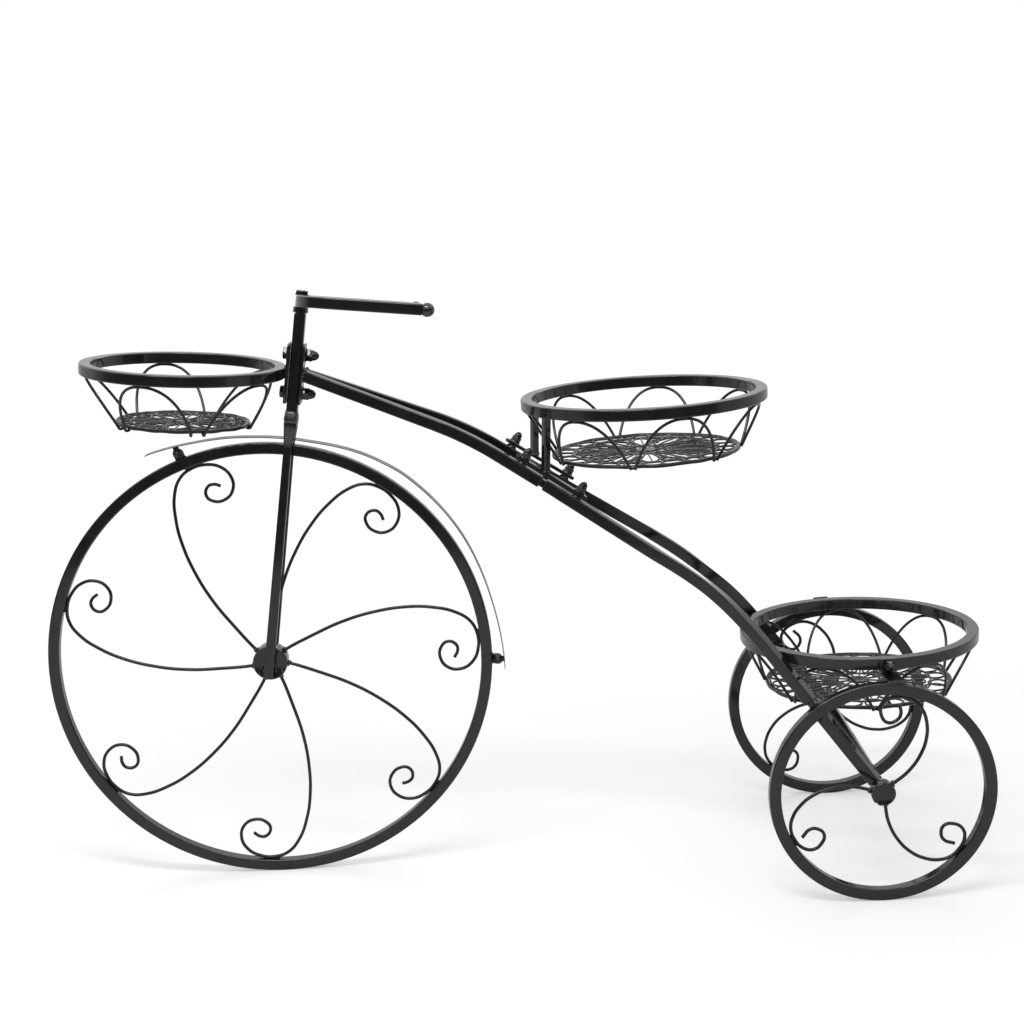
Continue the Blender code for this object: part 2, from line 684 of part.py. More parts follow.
def clamp_plate(name, front_x, thickness):
    """Flat clamp plate with two bolt holes; its front face at front_x."""
    bm = bmesh.new()
    top = plate_bottom + PLATE_HEIGHT
    half = PLATE_WIDTH / 2
    outline = [(-plate_bottom, -half, 0), (-plate_bottom, half, 0), (-top, half, 0), (-top, -half, 0)]
    holes = [
        [point - Vector((level, 0, 0)) for point in corner_circle(bolt_hole_radius, 0)]
        for level in clamp_levels
    ]
    pierced_plate(bm, [outline] + holes, thickness, Matrix.Translation((front_x, 0, 0)) @ facing_rear)
    return place_piece(name, finished(bm, name), steering)


clamp_plate("front_clamp_plate", plate_front_x, FRONT_PLATE_THICKNESS)
clamp_plate("rear_clamp_plate", half_tube + GAP, REAR_PLATE_THICKNESS)

head_seat = plate_front_x - GAP
nut_seat = plate_rear_x + GAP
nut_bore_end = nut_seat + CLAMP_NUT_HEIGHT * NUT_BORE_SHARE
for end, level in zip(("lower", "upper"), clamp_levels):
    hex_bolt(
        "clamp_bolt_" + end, steering, BOLT_HEAD_ACROSS_FLATS, BOLT_HEAD_HEIGHT, BOLT_RADIUS,
        nut_bore_end - GAP - head_seat, Matrix.Translation((head_seat, 0, level)) @ facing_front,
    )
    cap_nut(
        "clamp_cap_nut_" + end, steering, BOLT_HEAD_ACROSS_FLATS, CLAMP_NUT_HEIGHT, bolt_hole_radius,
        Matrix.Translation((nut_seat, 0, level)) @ facing_rear,
    )

leg_top = crown_bottom - GAP
leg_spread = FRONT_HUB_LENGTH / 2 + GAP + FORK_LEG_THICKNESS / 2
for side, sign in (("left", -1), ("right", 1)):
    leg_bm = bmesh.new()
    shoulder = leg_top - FORK_SHOULDER_DROP
    stops = (
        (leg_top, FORK_TOP_SPREAD, FORK_TOP_WIDTH),
        (leg_top - FORK_SHOULDER_DROP * 0.15, FORK_TOP_SPREAD, FORK_TOP_WIDTH),
        (leg_top - FORK_SHOULDER_DROP * 0.85, leg_spread, FORK_NECK_WIDTH),
        (shoulder, leg_spread, FORK_NECK_WIDTH),
        (-FORK_TIP_BELOW_HUB, leg_spread, FORK_TIP_WIDTH),
    )
    stations = [
        Matrix.Translation((0, sign * spread, level)) @ Matrix.Diagonal((width, FORK_LEG_THICKNESS, 1, 1))
        for level, spread, width in stops
    ]
    solid_bar(leg_bm, square_points(1, 1), stations)
    place_piece("fork_leg_" + side, finished(leg_bm, "fork_leg_" + side), steering)


# Handlebar, on a pivot at the middle of its seat on the steering axis

pivot_level = collar_top + GAP + HANDLEBAR_WIDTH / 2
handlebar_pivot = empty("handlebar_pivot", steering, (0, 0, pivot_level), (0, 0, HANDLEBAR_YAW))


def bar_height(x, y):
    """Height of the bar's centre line: flat at the seat, then tilted sideways and rising to the ends."""
    beyond = max(abs(y) - HANDLEBAR_SEAT_LENGTH / 2, 0)
    return HANDLEBAR_RISE * x / HANDLEBAR_REACH - math.copysign(beyond, y) * math.tan(HANDLEBAR_ROLL)


def handlebar_route():
    """Centre line of the U, from the near end round the front to the far end."""
    bend_steps = 6
    seat = HANDLEBAR_SEAT_LENGTH / 2
    radius = HANDLEBAR_BEND_RADIUS
    bend_y = HANDLEBAR_HALF_SPAN - radius
    half = [(0, seat)]
    for i in range(bend_steps + 1):
        turn = math.pi / 2 * i / bend_steps
        half.append((radius * (1 - math.cos(turn)), bend_y + radius * math.sin(turn)))
    half.append((HANDLEBAR_REACH, HANDLEBAR_HALF_SPAN))
    far = [Vector((x, y, bar_height(x, y))) for x, y in half]
    near = [Vector((x, -y, bar_height(x, -y))) for x, y in half]
    return near[::-1] + far


def upright_stations(route):
    """Frames along a route whose side faces stay upright, mitred at each corner."""
    stations = []
    for i, point in enumerate(route):
        before = (point - route[i - 1]).normalized() if i else None
        after = (route[i + 1] - point).normalized() if i + 1 < len(route) else None
        along = ((before or after) + (after or before)).normalized()
        side = Vector((-along.y, along.x, 0)).normalized()
        up = along.cross(side)
        turn = Matrix((side, up, along)).transposed().to_4x4()
        stretch = 1
        if before and after:
            stretch = 1 / math.sqrt((1 + before.dot(after)) / 2)
        flat_turn = 1
        if before and after:
            flat_before = Vector((before.x, before.y)).normalized()
            flat_after = Vector((after.x, after.y)).normalized()
            flat_turn = 1 / math.sqrt((1 + flat_before.dot(flat_after)) / 2)
        steep = stretch / flat_turn
        stations.append(Matrix.Translation(point) @ turn @ Matrix.Diagonal((flat_turn, steep, 1, 1)))
    return stations


bar_route = handlebar_route()
bar_bm = bmesh.new()
hollow_bar(bar_bm, HANDLEBAR_WIDTH, HANDLEBAR_WALL, upright_stations(bar_route))
handlebar = place_piece("handlebar", finished(bar_bm, "handlebar"), handlebar_pivot)
balls_bm = bmesh.new()
ball_rows = 7
for end, inside in ((bar_route[0], bar_route[1]), (bar_route[-1], bar_route[-2])):
    along = (end - inside).normalized()
    seat_drop = math.sqrt(BALL_RADIUS ** 2 - BALL_SEAT_RADIUS ** 2)
    first = math.asin(BALL_SEAT_RADIUS / BALL_RADIUS)
    last = math.pi * 0.94
    loops = []
    for i in range(ball_rows):
        polar = first + (last - first) * i / (ball_rows - 1)
        height = seat_drop - WELD_DEPTH - BALL_RADIUS * math.cos(polar)
        loops.append(corner_circle(BALL_RADIUS * math.sin(polar), height))
    turn = Vector((0, 0, 1)).rotation_difference(along).to_matrix().to_4x4()
    lathe(balls_bm, loops, Matrix.Translation(end) @ turn)
weld(handlebar, balls_bm)
drill(handlebar, bolt_hole_radius, HANDLEBAR_WIDTH + 2 * OVERRUN, [Matrix()])
bar_bolt_seat = pivot_level + HANDLEBAR_WIDTH / 2 + GAP
hex_bolt(
    "handlebar_bolt", steering, BOLT_HEAD_ACROSS_FLATS, BOLT_HEAD_HEIGHT, BOLT_RADIUS,
    HANDLEBAR_WIDTH + COLLAR_HEIGHT + COLLAR_PLUG_LENGTH, Matrix.Translation((0, 0, bar_bolt_seat)),
)


# Frame tubes: one route in the side view, its spread in the plan view

middle_frame = (
    Matrix.Translation((middle_basket_x, 0, middle_basket_z)) @ Matrix.Rotation(MIDDLE_BASKET_SLOPE, 4, "Y")
)


def rounded(corners, radius_list, bend_steps=6):
    """Polyline through corners, each inner corner rounded by its bend radius."""
    points = [Vector(corners[0])]
    for before, corner, after, radius in zip(corners, corners[1:], corners[2:], radius_list):
        corner = Vector(corner)
        inward = (Vector(before) - corner).normalized()
        outward = (Vector(after) - corner).normalized()
        bend = math.pi - inward.angle(outward)
        run = radius * math.tan(bend / 2)
        centre = corner + (inward + outward).normalized() * (radius / math.cos(bend / 2))
        first = corner + inward * run - centre
        last = corner + outward * run - centre
        for i in range(bend_steps + 1):
            share = i / bend_steps
            mixed = first * (1 - share) + last * share
            points.append(centre + mixed.normalized() * radius)
    points.append(Vector(corners[-1]))
    return points


def level_at(points, x):
    """Second coordinate of a polyline at a given first coordinate."""
    for low, high in zip(points, points[1:]):
        if low.x <= x <= high.x:
            return low.y + (high.y - low.y) * (x - low.x) / (high.x - low.x)
    return points[-1].y


side_corners = [
    (tube_start.x, tube_start.z),
    (first_corner_x, first_corner_z),
    (second_corner_x, second_corner_z),
    (WHEELBASE, REAR_WHEEL_RADIUS),
]
side_route = rounded(side_corners, (FIRST_BEND_RADIUS, SECOND_BEND_RADIUS))
fall = math.atan2(second_corner_z - REAR_WHEEL_RADIUS, WHEELBASE - second_corner_x)

# The tubes pass just outside the rear ring, where their upper side crosses its lower face
ring_low_z = rear_basket_z - half_tube
meet_x = second_corner_x + (second_corner_z - ring_low_z) / math.tan(fall) + half_tube / math.sin(fall)
ring_edge_y = math.sqrt(rear_ring_radius ** 2 - (rear_basket_x - meet_x) ** 2)
flare_x = WHEELBASE - FLARE_AHEAD_OF_AXLE
flare_slope = (ring_edge_y + half_tube - FLARE_HALF_SPREAD) / (meet_x - flare_x)
meet_y = ring_edge_y + (half_tube + REAR_RING_CLEARANCE) * math.hypot(1, flare_slope)
end_slope = (hub_inner_y - half_tube - meet_y) / (WHEELBASE - meet_x)
end_y = hub_inner_y - GAP - half_tube * math.hypot(1, end_slope)
plan_corners = [
    (tube_start.x, NECK_HALF_SPREAD),
    (WHEELBASE * WAIST_SHARE, WAIST_HALF_SPREAD),
    (strap_centre_x + BRACKET_BEHIND_STRAP, BRACKET_HALF_SPREAD),
    (middle_basket_x + SEAT_BEHIND_BASKET, SEAT_HALF_SPREAD),
    (flare_x, FLARE_HALF_SPREAD),
    (meet_x, meet_y),
    (WHEELBASE, end_y),
]
plan_route = rounded(plan_corners, [PLAN_BEND_RADIUS] * (len(plan_corners) - 2))


def full_route(sign):
    """Centre line of one frame tube from the clamp plate to the middle of the axle."""
    points = []
    for low, high in zip(side_route, side_route[1:]):
        pieces = max(1, round((high - low).length / (TUBE_STEP / 4)))
        for i in range(pieces):
            place = low + (high - low) * (i / pieces)
            points.append(Vector((place.x, sign * level_at(plan_route, place.x), place.y)))
    points.append(Vector((WHEELBASE, sign * end_y, REAR_WHEEL_RADIUS)))
    return points


def distance_at(route, x):
    """Length along a route up to a given X."""
    run = 0
    for low, high in zip(route, route[1:]):
        if high.x >= x:
            return run + (high - low).length * (x - low.x) / (high.x - low.x)
        run += (high - low).length
    return run


def point_at(route, distance):
    """Place on a route at a length along it."""
    for low, high in zip(route, route[1:]):
        step = (high - low).length
        if distance <= step:
            return low + (high - low) * (distance / step)
        distance -= step
    return route[-1].copy()


def stretch_of(route, start, end):
    """Stations of the part of a route between two lengths along it."""
    pieces = max(1, math.ceil((end - start) / TUBE_STEP))
    return upright_stations([point_at(route, start + (end - start) * i / pieces) for i in range(pieces + 1)])


def frame_on(route, x):
    """Frame on a tube's centre line: along the tube, sideways, and up from its top face."""
    middle = distance_at(route, x)
    ahead = point_at(route, middle + TUBE_WIDTH)
    behind = point_at(route, middle - TUBE_WIDTH)
    along = (ahead - behind).normalized()
    side = Vector((-along.y, along.x, 0)).normalized()
    turn = Matrix((along, side, along.cross(side))).transposed().to_4x4()
    return Matrix.Translation(point_at(route, middle)) @ turn


def tube_piece(name, route, start, end, plane=None, plug_length=0):
    """One length of frame tube; plane gives the point, normal and end of the face it is trimmed to.

    A plug is the tube's own end, swaged narrower to enter the next tube.
    """
    bm = bmesh.new()
    stations = stretch_of(route, start, end)
    outside = carried(square_points(TUBE_WIDTH, TUBE_WIDTH), stations)
    bore = TUBE_WIDTH - 2 * TUBE_WALL
    inside = carried(square_points(bore, bore), stations)
    if plug_length:
        plug = bore - 4 * GAP
        plug_bore = plug - 2 * TUBE_WALL
        plug_stations = stretch_of(route, end, end + plug_length)
        step_back = stretch_of(route, end - TUBE_WALL, end)[:1]
        outside += carried(square_points(plug, plug), plug_stations)
        inside = inside[:-1] + carried(square_points(bore, bore), step_back)
        inside += carried(square_points(plug_bore, plug_bore), step_back + plug_stations[1:])
    lathe(bm, outside + inside[::-1], closed=True)
    if plane:
        point, normal, last = plane
        station = stations[-1] if last else stations[0]
        along = station.to_3x3() @ Vector((0, 0, 1))
        trim(nearest_verts(bm, station.translation, 8), along, point, normal)
    return place_piece(name, finished(bm, name), stand)


plate_plane = (tube_start, steering_frame.to_3x3() @ Vector((1, 0, 0)), False)
toward_axle = Vector((math.cos(fall), 0, -math.sin(fall)))
axle_middle = Vector((WHEELBASE, 0, REAR_WHEEL_RADIUS))
axle_plane = (axle_middle - toward_axle * (half_tube + GAP), toward_axle, True)
routes = {}
tubes = {}
for side, sign in (("left", -1), ("right", 1)):
    route = full_route(sign)
    routes[side] = route
    first_joint = distance_at(route, strap_centre_x + FIRST_JOINT_BEHIND_STRAP)
    second_joint = distance_at(route, WHEELBASE - SECOND_JOINT_AHEAD_OF_AXLE)
    seam = JOINT_SEAM / 2
    plug_length = JOINT_SEAM + PLUG_DEPTH
    tube_end = distance_at(route, WHEELBASE) - half_tube
    tubes["front", side] = tube_piece(
        "front_frame_tube_" + side, route, 0, first_joint - seam, plate_plane, plug_length
    )
    tubes["rear", side] = tube_piece(
        "rear_frame_tube_" + side, route, first_joint + seam, second_joint - seam, None, plug_length
    )
    tube_piece("rear_stay_" + side, route, second_joint + seam, tube_end, axle_plane)

axle_bm = bmesh.new()
axle_half = hub_inner_y - GAP
axle_turn = Matrix.Rotation(-math.pi / 2, 4, "X") @ Matrix.Rotation(fall, 4, "Z")
hollow_bar(axle_bm, TUBE_WIDTH, TUBE_WALL, [
    Matrix.Translation(axle_middle + Vector((0, y, 0))) @ axle_turn for y in (-axle_half, axle_half)
])
place_piece("rear_axle", finished(axle_bm, "rear_axle"), stand)


# Bracket: straps on the tubes, posts up to the middle ring

strap_bottom = half_tube + STUD_SHOULDER_HEIGHT + GAP
strap_top = strap_bottom + STRAP_THICKNESS
stud_nut_seat = strap_top + GAP
stud_length = stud_nut_seat + STUD_NUT_HEIGHT * NUT_BORE_SHARE - GAP - half_tube
stud_hole_radius = STUD_RADIUS + GAP
ring_under = middle_frame @ Vector((0, 0, -half_tube - GAP))
ring_up = middle_frame.to_3x3() @ Vector((0, 0, 1))
for side, sign in (("left", -1), ("right", 1)):
    frame = frame_on(routes[side], strap_centre_x - sign * STRAP_SKEW)
    half_length = STRAP_LENGTH / 2
    half_width = STRAP_WIDTH / 2
    outline = [
        (-half_length, -half_width, 0), (half_length, -half_width, 0),
        (half_length, half_width, 0), (-half_length, half_width, 0),
    ]
    stud_steps = {"front": -STUD_SPACING / 2, "rear": STUD_SPACING / 2}
    holes = [
        [point + Vector((x, 0, 0)) for point in corner_circle(stud_hole_radius, 0)]
        for x in stud_steps.values()
    ]
    strap_bm = bmesh.new()
    pierced_plate(
        strap_bm, [outline] + holes, STRAP_THICKNESS, frame @ Matrix.Translation((0, 0, strap_bottom))
    )
    strap = place_piece("bracket_strap_" + side, finished(strap_bm, "bracket_strap_" + side), stand)
    for end, x in stud_steps.items():
        stud_bm = bmesh.new()
        stud_place = frame @ Matrix.Translation((x, 0, half_tube))
        stud(stud_bm, STUD_RADIUS, stud_length, stud_place, STUD_SHOULDER_HEIGHT)
        weld(tubes[end, side], stud_bm)
        cap_nut(
            "bracket_cap_nut_%s_%s" % (end, side), stand, STUD_NUT_ACROSS_FLATS, STUD_NUT_HEIGHT,
            stud_hole_radius, frame @ Matrix.Translation((x, 0, stud_nut_seat)),
        )
    foot = frame @ Vector((-POST_WIDTH, 0, strap_top - WELD_DEPTH))
    head_x = middle_basket_x - POST_TOP_AHEAD_OF_BASKET - sign * STRAP_SKEW
    head = Vector((head_x, sign * POST_TOP_HALF_SPREAD, ring_under.z))
    along = (head - foot).normalized()
    side_way = along.cross(Vector((1, 0, 0))).normalized()
    turn = Matrix((side_way, along.cross(side_way), along)).transposed().to_4x4()
    turn = turn @ Matrix.Rotation(POST_TURN, 4, "Z")
    post_bm = bmesh.new()
    ends = [Matrix.Translation(place) @ turn for place in (foot, head)]
    solid_bar(post_bm, square_points(POST_WIDTH, POST_WIDTH), ends)
    trim(nearest_verts(post_bm, foot, 4), along, foot, frame.to_3x3() @ Vector((0, 0, 1)))
    trim(nearest_verts(post_bm, head, 4), along, ring_under, ring_up)
    weld(strap, post_bm)


# Ties from the rear ring's outer face to the tops of the rear wheels

tie_studs_bm = bmesh.new()
tie_inner = rear_ring_radius + GAP
tie_outer = rear_wheel_y + half_tube
tie_floor = 2 * REAR_WHEEL_RADIUS - rear_basket_z + GAP
tie_top = hex_radius(STUD_NUT_ACROSS_FLATS) * NUT_FLANGE_SHARE + GAP
tie_nut_seat = tie_inner + TIE_THICKNESS + GAP
tie_stud_length = tie_nut_seat + STUD_NUT_HEIGHT * NUT_BORE_SHARE - GAP - rear_ring_radius
for side, turn_angle in (("left", TIE_NEAR_TURN - math.pi / 2), ("right", TIE_FAR_TURN + math.pi / 2)):
    frame = Matrix.Rotation(turn_angle, 4, "Z")
    section = [
        (tie_inner, tie_floor, 0), (tie_outer, tie_floor, 0), (tie_outer, tie_floor + TIE_THICKNESS, 0),
        (tie_inner + TIE_THICKNESS, tie_floor + TIE_THICKNESS, 0), (tie_inner + TIE_THICKNESS, tie_top, 0),
        (tie_inner, tie_top, 0),
    ]
    upright = frame @ Matrix.Rotation(math.pi / 2, 4, "X")
    tie_bm = bmesh.new()
    solid_bar(tie_bm, section, [
        upright @ Matrix.Translation((0, 0, z)) for z in (-TIE_WIDTH / 2, TIE_WIDTH / 2)
    ])
    tie = place_piece("rear_tie_plate_" + side, finished(tie_bm, "rear_tie_plate_" + side), rear_basket)
    hole_place = frame @ Matrix.Translation((tie_inner, 0, 0)) @ facing_rear
    drill(tie, stud_hole_radius, 2 * TIE_THICKNESS + OVERRUN, [hole_place])
    stud_place = frame @ Matrix.Translation((rear_ring_radius, 0, 0)) @ facing_rear
    stud(tie_studs_bm, STUD_RADIUS, tie_stud_length, stud_place)
    cap_nut(
        "rear_tie_cap_nut_" + side, rear_basket, STUD_NUT_ACROSS_FLATS, STUD_NUT_HEIGHT,
        stud_hole_radius, frame @ Matrix.Translation((tie_nut_seat, 0, 0)) @ facing_rear,
    )
weld(rear_ring, tie_studs_bm)


# Fender and its two fixings on the front rim

def fender_radius(degrees):
    """Radius of the fender's underside at an angle round the wheel."""
    for (high, high_share), (low, low_share) in zip(FENDER_SHARES, FENDER_SHARES[1:]):
        if low <= degrees <= high:
            share = low_share + (high_share - low_share) * (degrees - low) / (high - low)
            return FRONT_WHEEL_RADIUS + FENDER_LIFT * share
    return FRONT_WHEEL_RADIUS + FENDER_LIFT


fender_middle = [
    Vector((math.cos(math.radians(angle)), 0, math.sin(math.radians(angle))))
    * (fender_radius(angle) + FENDER_THICKNESS / 2)
    for angle, share in FENDER_SHARES
]
across = Vector((0, 1, 0))
fender_stations = []
for i, point in enumerate(fender_middle):
    before = fender_middle[max(i - 1, 0)]
    after = fender_middle[min(i + 1, len(fender_middle) - 1)]
    along = (after - before).normalized()
    turn = Matrix((across, along.cross(across), along)).transposed().to_4x4()
    fender_stations.append(Matrix.Translation(point) @ turn)
fender_bm = bmesh.new()
solid_bar(fender_bm, square_points(FENDER_WIDTH, FENDER_THICKNESS), fender_stations)
fender = place_piece("fender", finished(fender_bm, "fender"), front_axle, grey=0.05)

lugs_bm = bmesh.new()
ears_bm = bmesh.new()
fender_studs_bm = bmesh.new()
ear_holes = []
half_lug = FENDER_LUG_WIDTH / 2
half_lug_thickness = FENDER_LUG_THICKNESS / 2
ear_near = -half_lug_thickness - GAP - FENDER_LUG_THICKNESS
fender_hole_radius = FENDER_BOLT_RADIUS + GAP
fender_nut_seat = -ear_near + GAP
facing_near = Matrix.Rotation(math.pi / 2, 4, "X")
for end, fixing in (("front", FENDER_FRONT_FIXING), ("rear", FENDER_REAR_FIXING)):
    frame = Matrix.Rotation(math.pi / 2 - fixing, 4, "Y")
    rim_face = FRONT_WHEEL_RADIUS * math.cos(math.pi / FRONT_RIM_SEGMENTS)
    box(
        lugs_bm, (-half_lug, -half_lug_thickness, rim_face - WELD_DEPTH),
        (half_lug, half_lug_thickness, FRONT_WHEEL_RADIUS + FENDER_LUG_HEIGHT), frame,
    )
    ear_top = fender_radius(math.degrees(fixing)) + FENDER_THICKNESS / 2
    box(
        ears_bm, (-half_lug, ear_near, FRONT_WHEEL_RADIUS + 3 * GAP),
        (half_lug, ear_near + FENDER_LUG_THICKNESS, ear_top), frame,
    )
    stud_place = frame @ Matrix.Translation((0, 0, FRONT_WHEEL_RADIUS + FENDER_BOLT_HEIGHT))
    stud_length = fender_nut_seat + FENDER_NUT_HEIGHT * NUT_BORE_SHARE - GAP - half_lug_thickness
    stud(
        fender_studs_bm, FENDER_BOLT_RADIUS, stud_length,
        stud_place @ Matrix.Translation((0, -half_lug_thickness, 0)) @ facing_near,
    )
    cap_nut(
        "fender_cap_nut_" + end, front_axle, FENDER_NUT_ACROSS_FLATS, FENDER_NUT_HEIGHT,
        fender_hole_radius, stud_place @ Matrix.Translation((0, -fender_nut_seat, 0)) @ facing_near,
    )
    ear_holes.append(stud_place @ Matrix.Translation((0, -fender_nut_seat, 0)) @ facing_near)
weld(fender, ears_bm)
drill(fender, fender_hole_radius, 2 * fender_nut_seat, ear_holes)
for mesh_bm in (lugs_bm, fender_studs_bm):
    bmesh.ops.transform(mesh_bm, matrix=Matrix.Rotation(-math.pi / 2, 4, "X"), verts=mesh_bm.verts)
    weld(front_rim, mesh_bm)
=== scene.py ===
import json
from math import asin, atan2, ceil, copysign, cos, hypot, pi, radians, sin, sqrt, tan, tau
from random import Random

import bmesh
import bpy
from mathutils import Matrix, Vector


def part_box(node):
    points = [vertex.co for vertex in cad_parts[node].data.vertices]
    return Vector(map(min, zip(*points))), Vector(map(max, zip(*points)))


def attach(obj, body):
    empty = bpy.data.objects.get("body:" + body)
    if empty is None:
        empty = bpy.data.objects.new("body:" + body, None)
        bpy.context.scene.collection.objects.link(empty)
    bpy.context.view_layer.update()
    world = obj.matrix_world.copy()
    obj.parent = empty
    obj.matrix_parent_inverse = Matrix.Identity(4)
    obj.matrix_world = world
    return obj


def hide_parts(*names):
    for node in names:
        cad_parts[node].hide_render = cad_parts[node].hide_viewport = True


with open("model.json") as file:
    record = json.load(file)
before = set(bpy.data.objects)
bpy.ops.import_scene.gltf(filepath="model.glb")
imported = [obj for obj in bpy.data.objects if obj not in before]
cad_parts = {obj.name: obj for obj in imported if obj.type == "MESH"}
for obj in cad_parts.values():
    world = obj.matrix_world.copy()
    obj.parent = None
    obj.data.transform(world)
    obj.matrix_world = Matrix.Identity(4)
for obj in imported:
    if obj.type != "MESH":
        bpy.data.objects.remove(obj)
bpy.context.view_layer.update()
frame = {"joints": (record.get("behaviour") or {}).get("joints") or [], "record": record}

# Front wheel rim. One length of 10 mm square steel tube rolled into a hoop, butt welded
# at the back, with two small lugs welded on top for the fender. All of the stand is
# coated in the same gloss black enamel, which pools a little and dries with a fine peel.

FRONT_WHEEL_RADIUS = 0.200
FRONT_RIM_STATIONS = 144
TUBE_WIDTH = 0.010
TUBE_EDGE = 0.0014
GAP = 0.0003
RIM_WELD_TURN = radians(-1.0)
FENDER_FIXING_TURNS = (109.2, -2.1)
LUG_WIDTH = 0.009
LUG_THICKNESS = 0.002
LUG_HEIGHT = 0.0086
LUG_ROOT = 0.002
LUG_EDGE = 0.0006
COAT_ROUGHNESS = 0.04
THIN_EDGE = 0.001
EASED_ANGLE = radians(34)
COLLAR_FACETS = 28


def shift(x=0, y=0, z=0):
    """Move along the three axes."""
    return Matrix.Translation((x, y, z))


def spin(turn, axis="Z"):
    """Turn about one axis."""
    return Matrix.Rotation(turn, 4, axis)


def axes(x, y, z, middle=(0, 0, 0)):
    """Place at a point with three given axes."""
    return Matrix.Translation(middle) @ Matrix((x, y, z)).transposed().to_4x4()


def polar(radius, turn, level=0.0):
    """Point at a radius and turn about Z."""
    return Vector((radius * cos(turn), radius * sin(turn), level))


def all_round(count):
    """Turns of equal steps all round."""
    return [tau * i / count for i in range(count)]


def plug(tree, node, sockets):
    """Sockets of a node set to values or linked to other nodes' outputs."""
    for key, value in sockets.items():
        if isinstance(value, bpy.types.NodeSocket):
            tree.links.new(value, node.inputs[key])
        else:
            node.inputs[key].default_value = value


def wired(tree, kind, sockets=None, **settings):
    """Outputs of a new node with its settings and sockets."""
    node = tree.nodes.new(kind)
    for key, value in settings.items():
        setattr(node, key, value)
    plug(tree, node, sockets or {})
    return node.outputs


def enamel(name, grey=0.009, dull=0.18, shine=0.08, peel=0.00003, lumps=0.0, coat=0.4):
    """Gloss black enamel: cloudy tone, patches of duller film, orange peel and drips."""
    finish = bpy.data.materials.new(name)
    finish.use_nodes = True
    tree = finish.node_tree
    place = wired(tree, "ShaderNodeTexCoord")["Object"]

    def cloud(scale, detail):
        return wired(tree, "ShaderNodeTexNoise", {"Scale": scale, "Detail": detail, "Vector": place})["Fac"]

    tone = tree.nodes.new("ShaderNodeValToRGB")
    for stop, position, share in zip(tone.color_ramp.elements, (0.3, 0.72), (0.7, 1.45)):
        stop.position = position
        stop.color = (grey * share, grey * share, grey * share, 1)
    plug(tree, tone, {"Fac": cloud(70, 4)})
    film = wired(tree, "ShaderNodeMapRange", {
        "From Min": 0.35, "From Max": 0.70, "To Min": shine, "To Max": dull, "Value": cloud(38, 3),
    })["Result"]
    skin = {"Strength": 1.0, "Distance": peel, "Height": cloud(520, 2)}
    if lumps:
        drips = {"Strength": 1.0, "Distance": lumps, "Height": cloud(210, 2)}
        skin["Normal"] = wired(tree, "ShaderNodeBump", drips)["Normal"]
    plug(tree, tree.nodes["Principled BSDF"], {
        "Base Color": tone.outputs["Color"], "Roughness": film,
        "Normal": wired(tree, "ShaderNodeBump", skin)["Normal"],
        "Coat Weight": coat, "Coat Roughness": COAT_ROUGHNESS,
    })
    return finish


def made(bm, name, sharp=0):
    """Mesh with its faces turned outward and shaded smooth, but for edges over an angle."""
    bmesh.ops.recalc_face_normals(bm, faces=bm.faces)
    mesh = bpy.data.meshes.new(name)
    bm.to_mesh(mesh)
    bm.free()
    mesh.shade_smooth()
    if sharp:
        mesh.set_sharp_from_angle(angle=radians(sharp))
    return mesh


def placed(name, data):
    """New object in the scene."""
    thing = bpy.data.objects.new(name, data)
    bpy.context.scene.collection.objects.link(thing)
    return thing


def fitted(name, shape, finish, slot, nodes=(), body="stand", edge=0, sharp=0):
    """Piece with its finish, on its body, in place of its nodes; long edges can be eased."""
    data = made(shape, name, sharp) if isinstance(shape, bmesh.types.BMesh) else shape
    piece = placed(name, data)
    data.materials.append(finish)
    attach(piece, body)
    if nodes:
        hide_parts(*nodes)
    if edge:
        round_over = piece.modifiers.new("round_over", "BEVEL")
        round_over.width = edge
        round_over.segments = 3 if edge > THIN_EDGE else 2
        round_over.limit_method = "ANGLE"
        round_over.angle_limit = EASED_ANGLE
        round_over.harden_normals = True


def skinned(bm, rows, closed=False):
    """Faces between rows of points; open ends are capped."""
    rows = [[bm.verts.new(point) for point in row] for row in rows]
    for low, high in zip(rows, rows[1:] + (rows[:1] if closed else [])):
        for i in range(len(low)):
            bm.faces.new((low[i - 1], low[i], high[i], high[i - 1]))
    if not closed:
        bm.faces.new(rows[0])
        bm.faces.new(rows[-1])
    return rows


def swept(bm, section, stations, closed=False, cuts=()):
    """Section carried through the stations; each end can be slid along its bar onto a plane."""
    rows = skinned(bm, [[station @ Vector(point) for point in section] for station in stations], closed)
    for row, station, cut in zip((rows[0], rows[-1]), (stations[0], stations[-1]), cuts):
        if cut:
            point, normal = cut
            along = station.to_3x3() @ Vector((0, 0, 1))
            for vert in row:
                vert.co += along * ((point - vert.co).dot(normal) / along.dot(normal))


def flat_section(width, height):
    """Corners of a flat or square bar."""
    x = width / 2
    y = height / 2
    return [(-x, -y, 0), (x, -y, 0), (x, y, 0), (-x, y, 0)]


def tapered(bm, thickness, rows):
    """Flat bar through places, each with its own width."""
    stations = [place @ Matrix.Diagonal((width, thickness, 1, 1)) for place, width in rows]
    swept(bm, flat_section(1, 1), stations)


def bar(name, section, stations, nodes=(), slot="frame_paint", closed=False, cuts=(), edge=TUBE_EDGE, **more):
    """Piece that is one section carried through the stations."""
    bm = bmesh.new()
    swept(bm, section, stations, closed, cuts)
    fitted(name, bm, tube_enamel, slot, nodes, edge=edge, **more)


def hoop(name, place, radius, count, slot, node):
    """Square tube rolled into a hoop of an outer radius, level in its place."""
    out = shift(radius - half_tube) @ upright
    bar(name, square, [place @ spin(turn) @ out for turn in all_round(count)], [node], slot, closed=True)


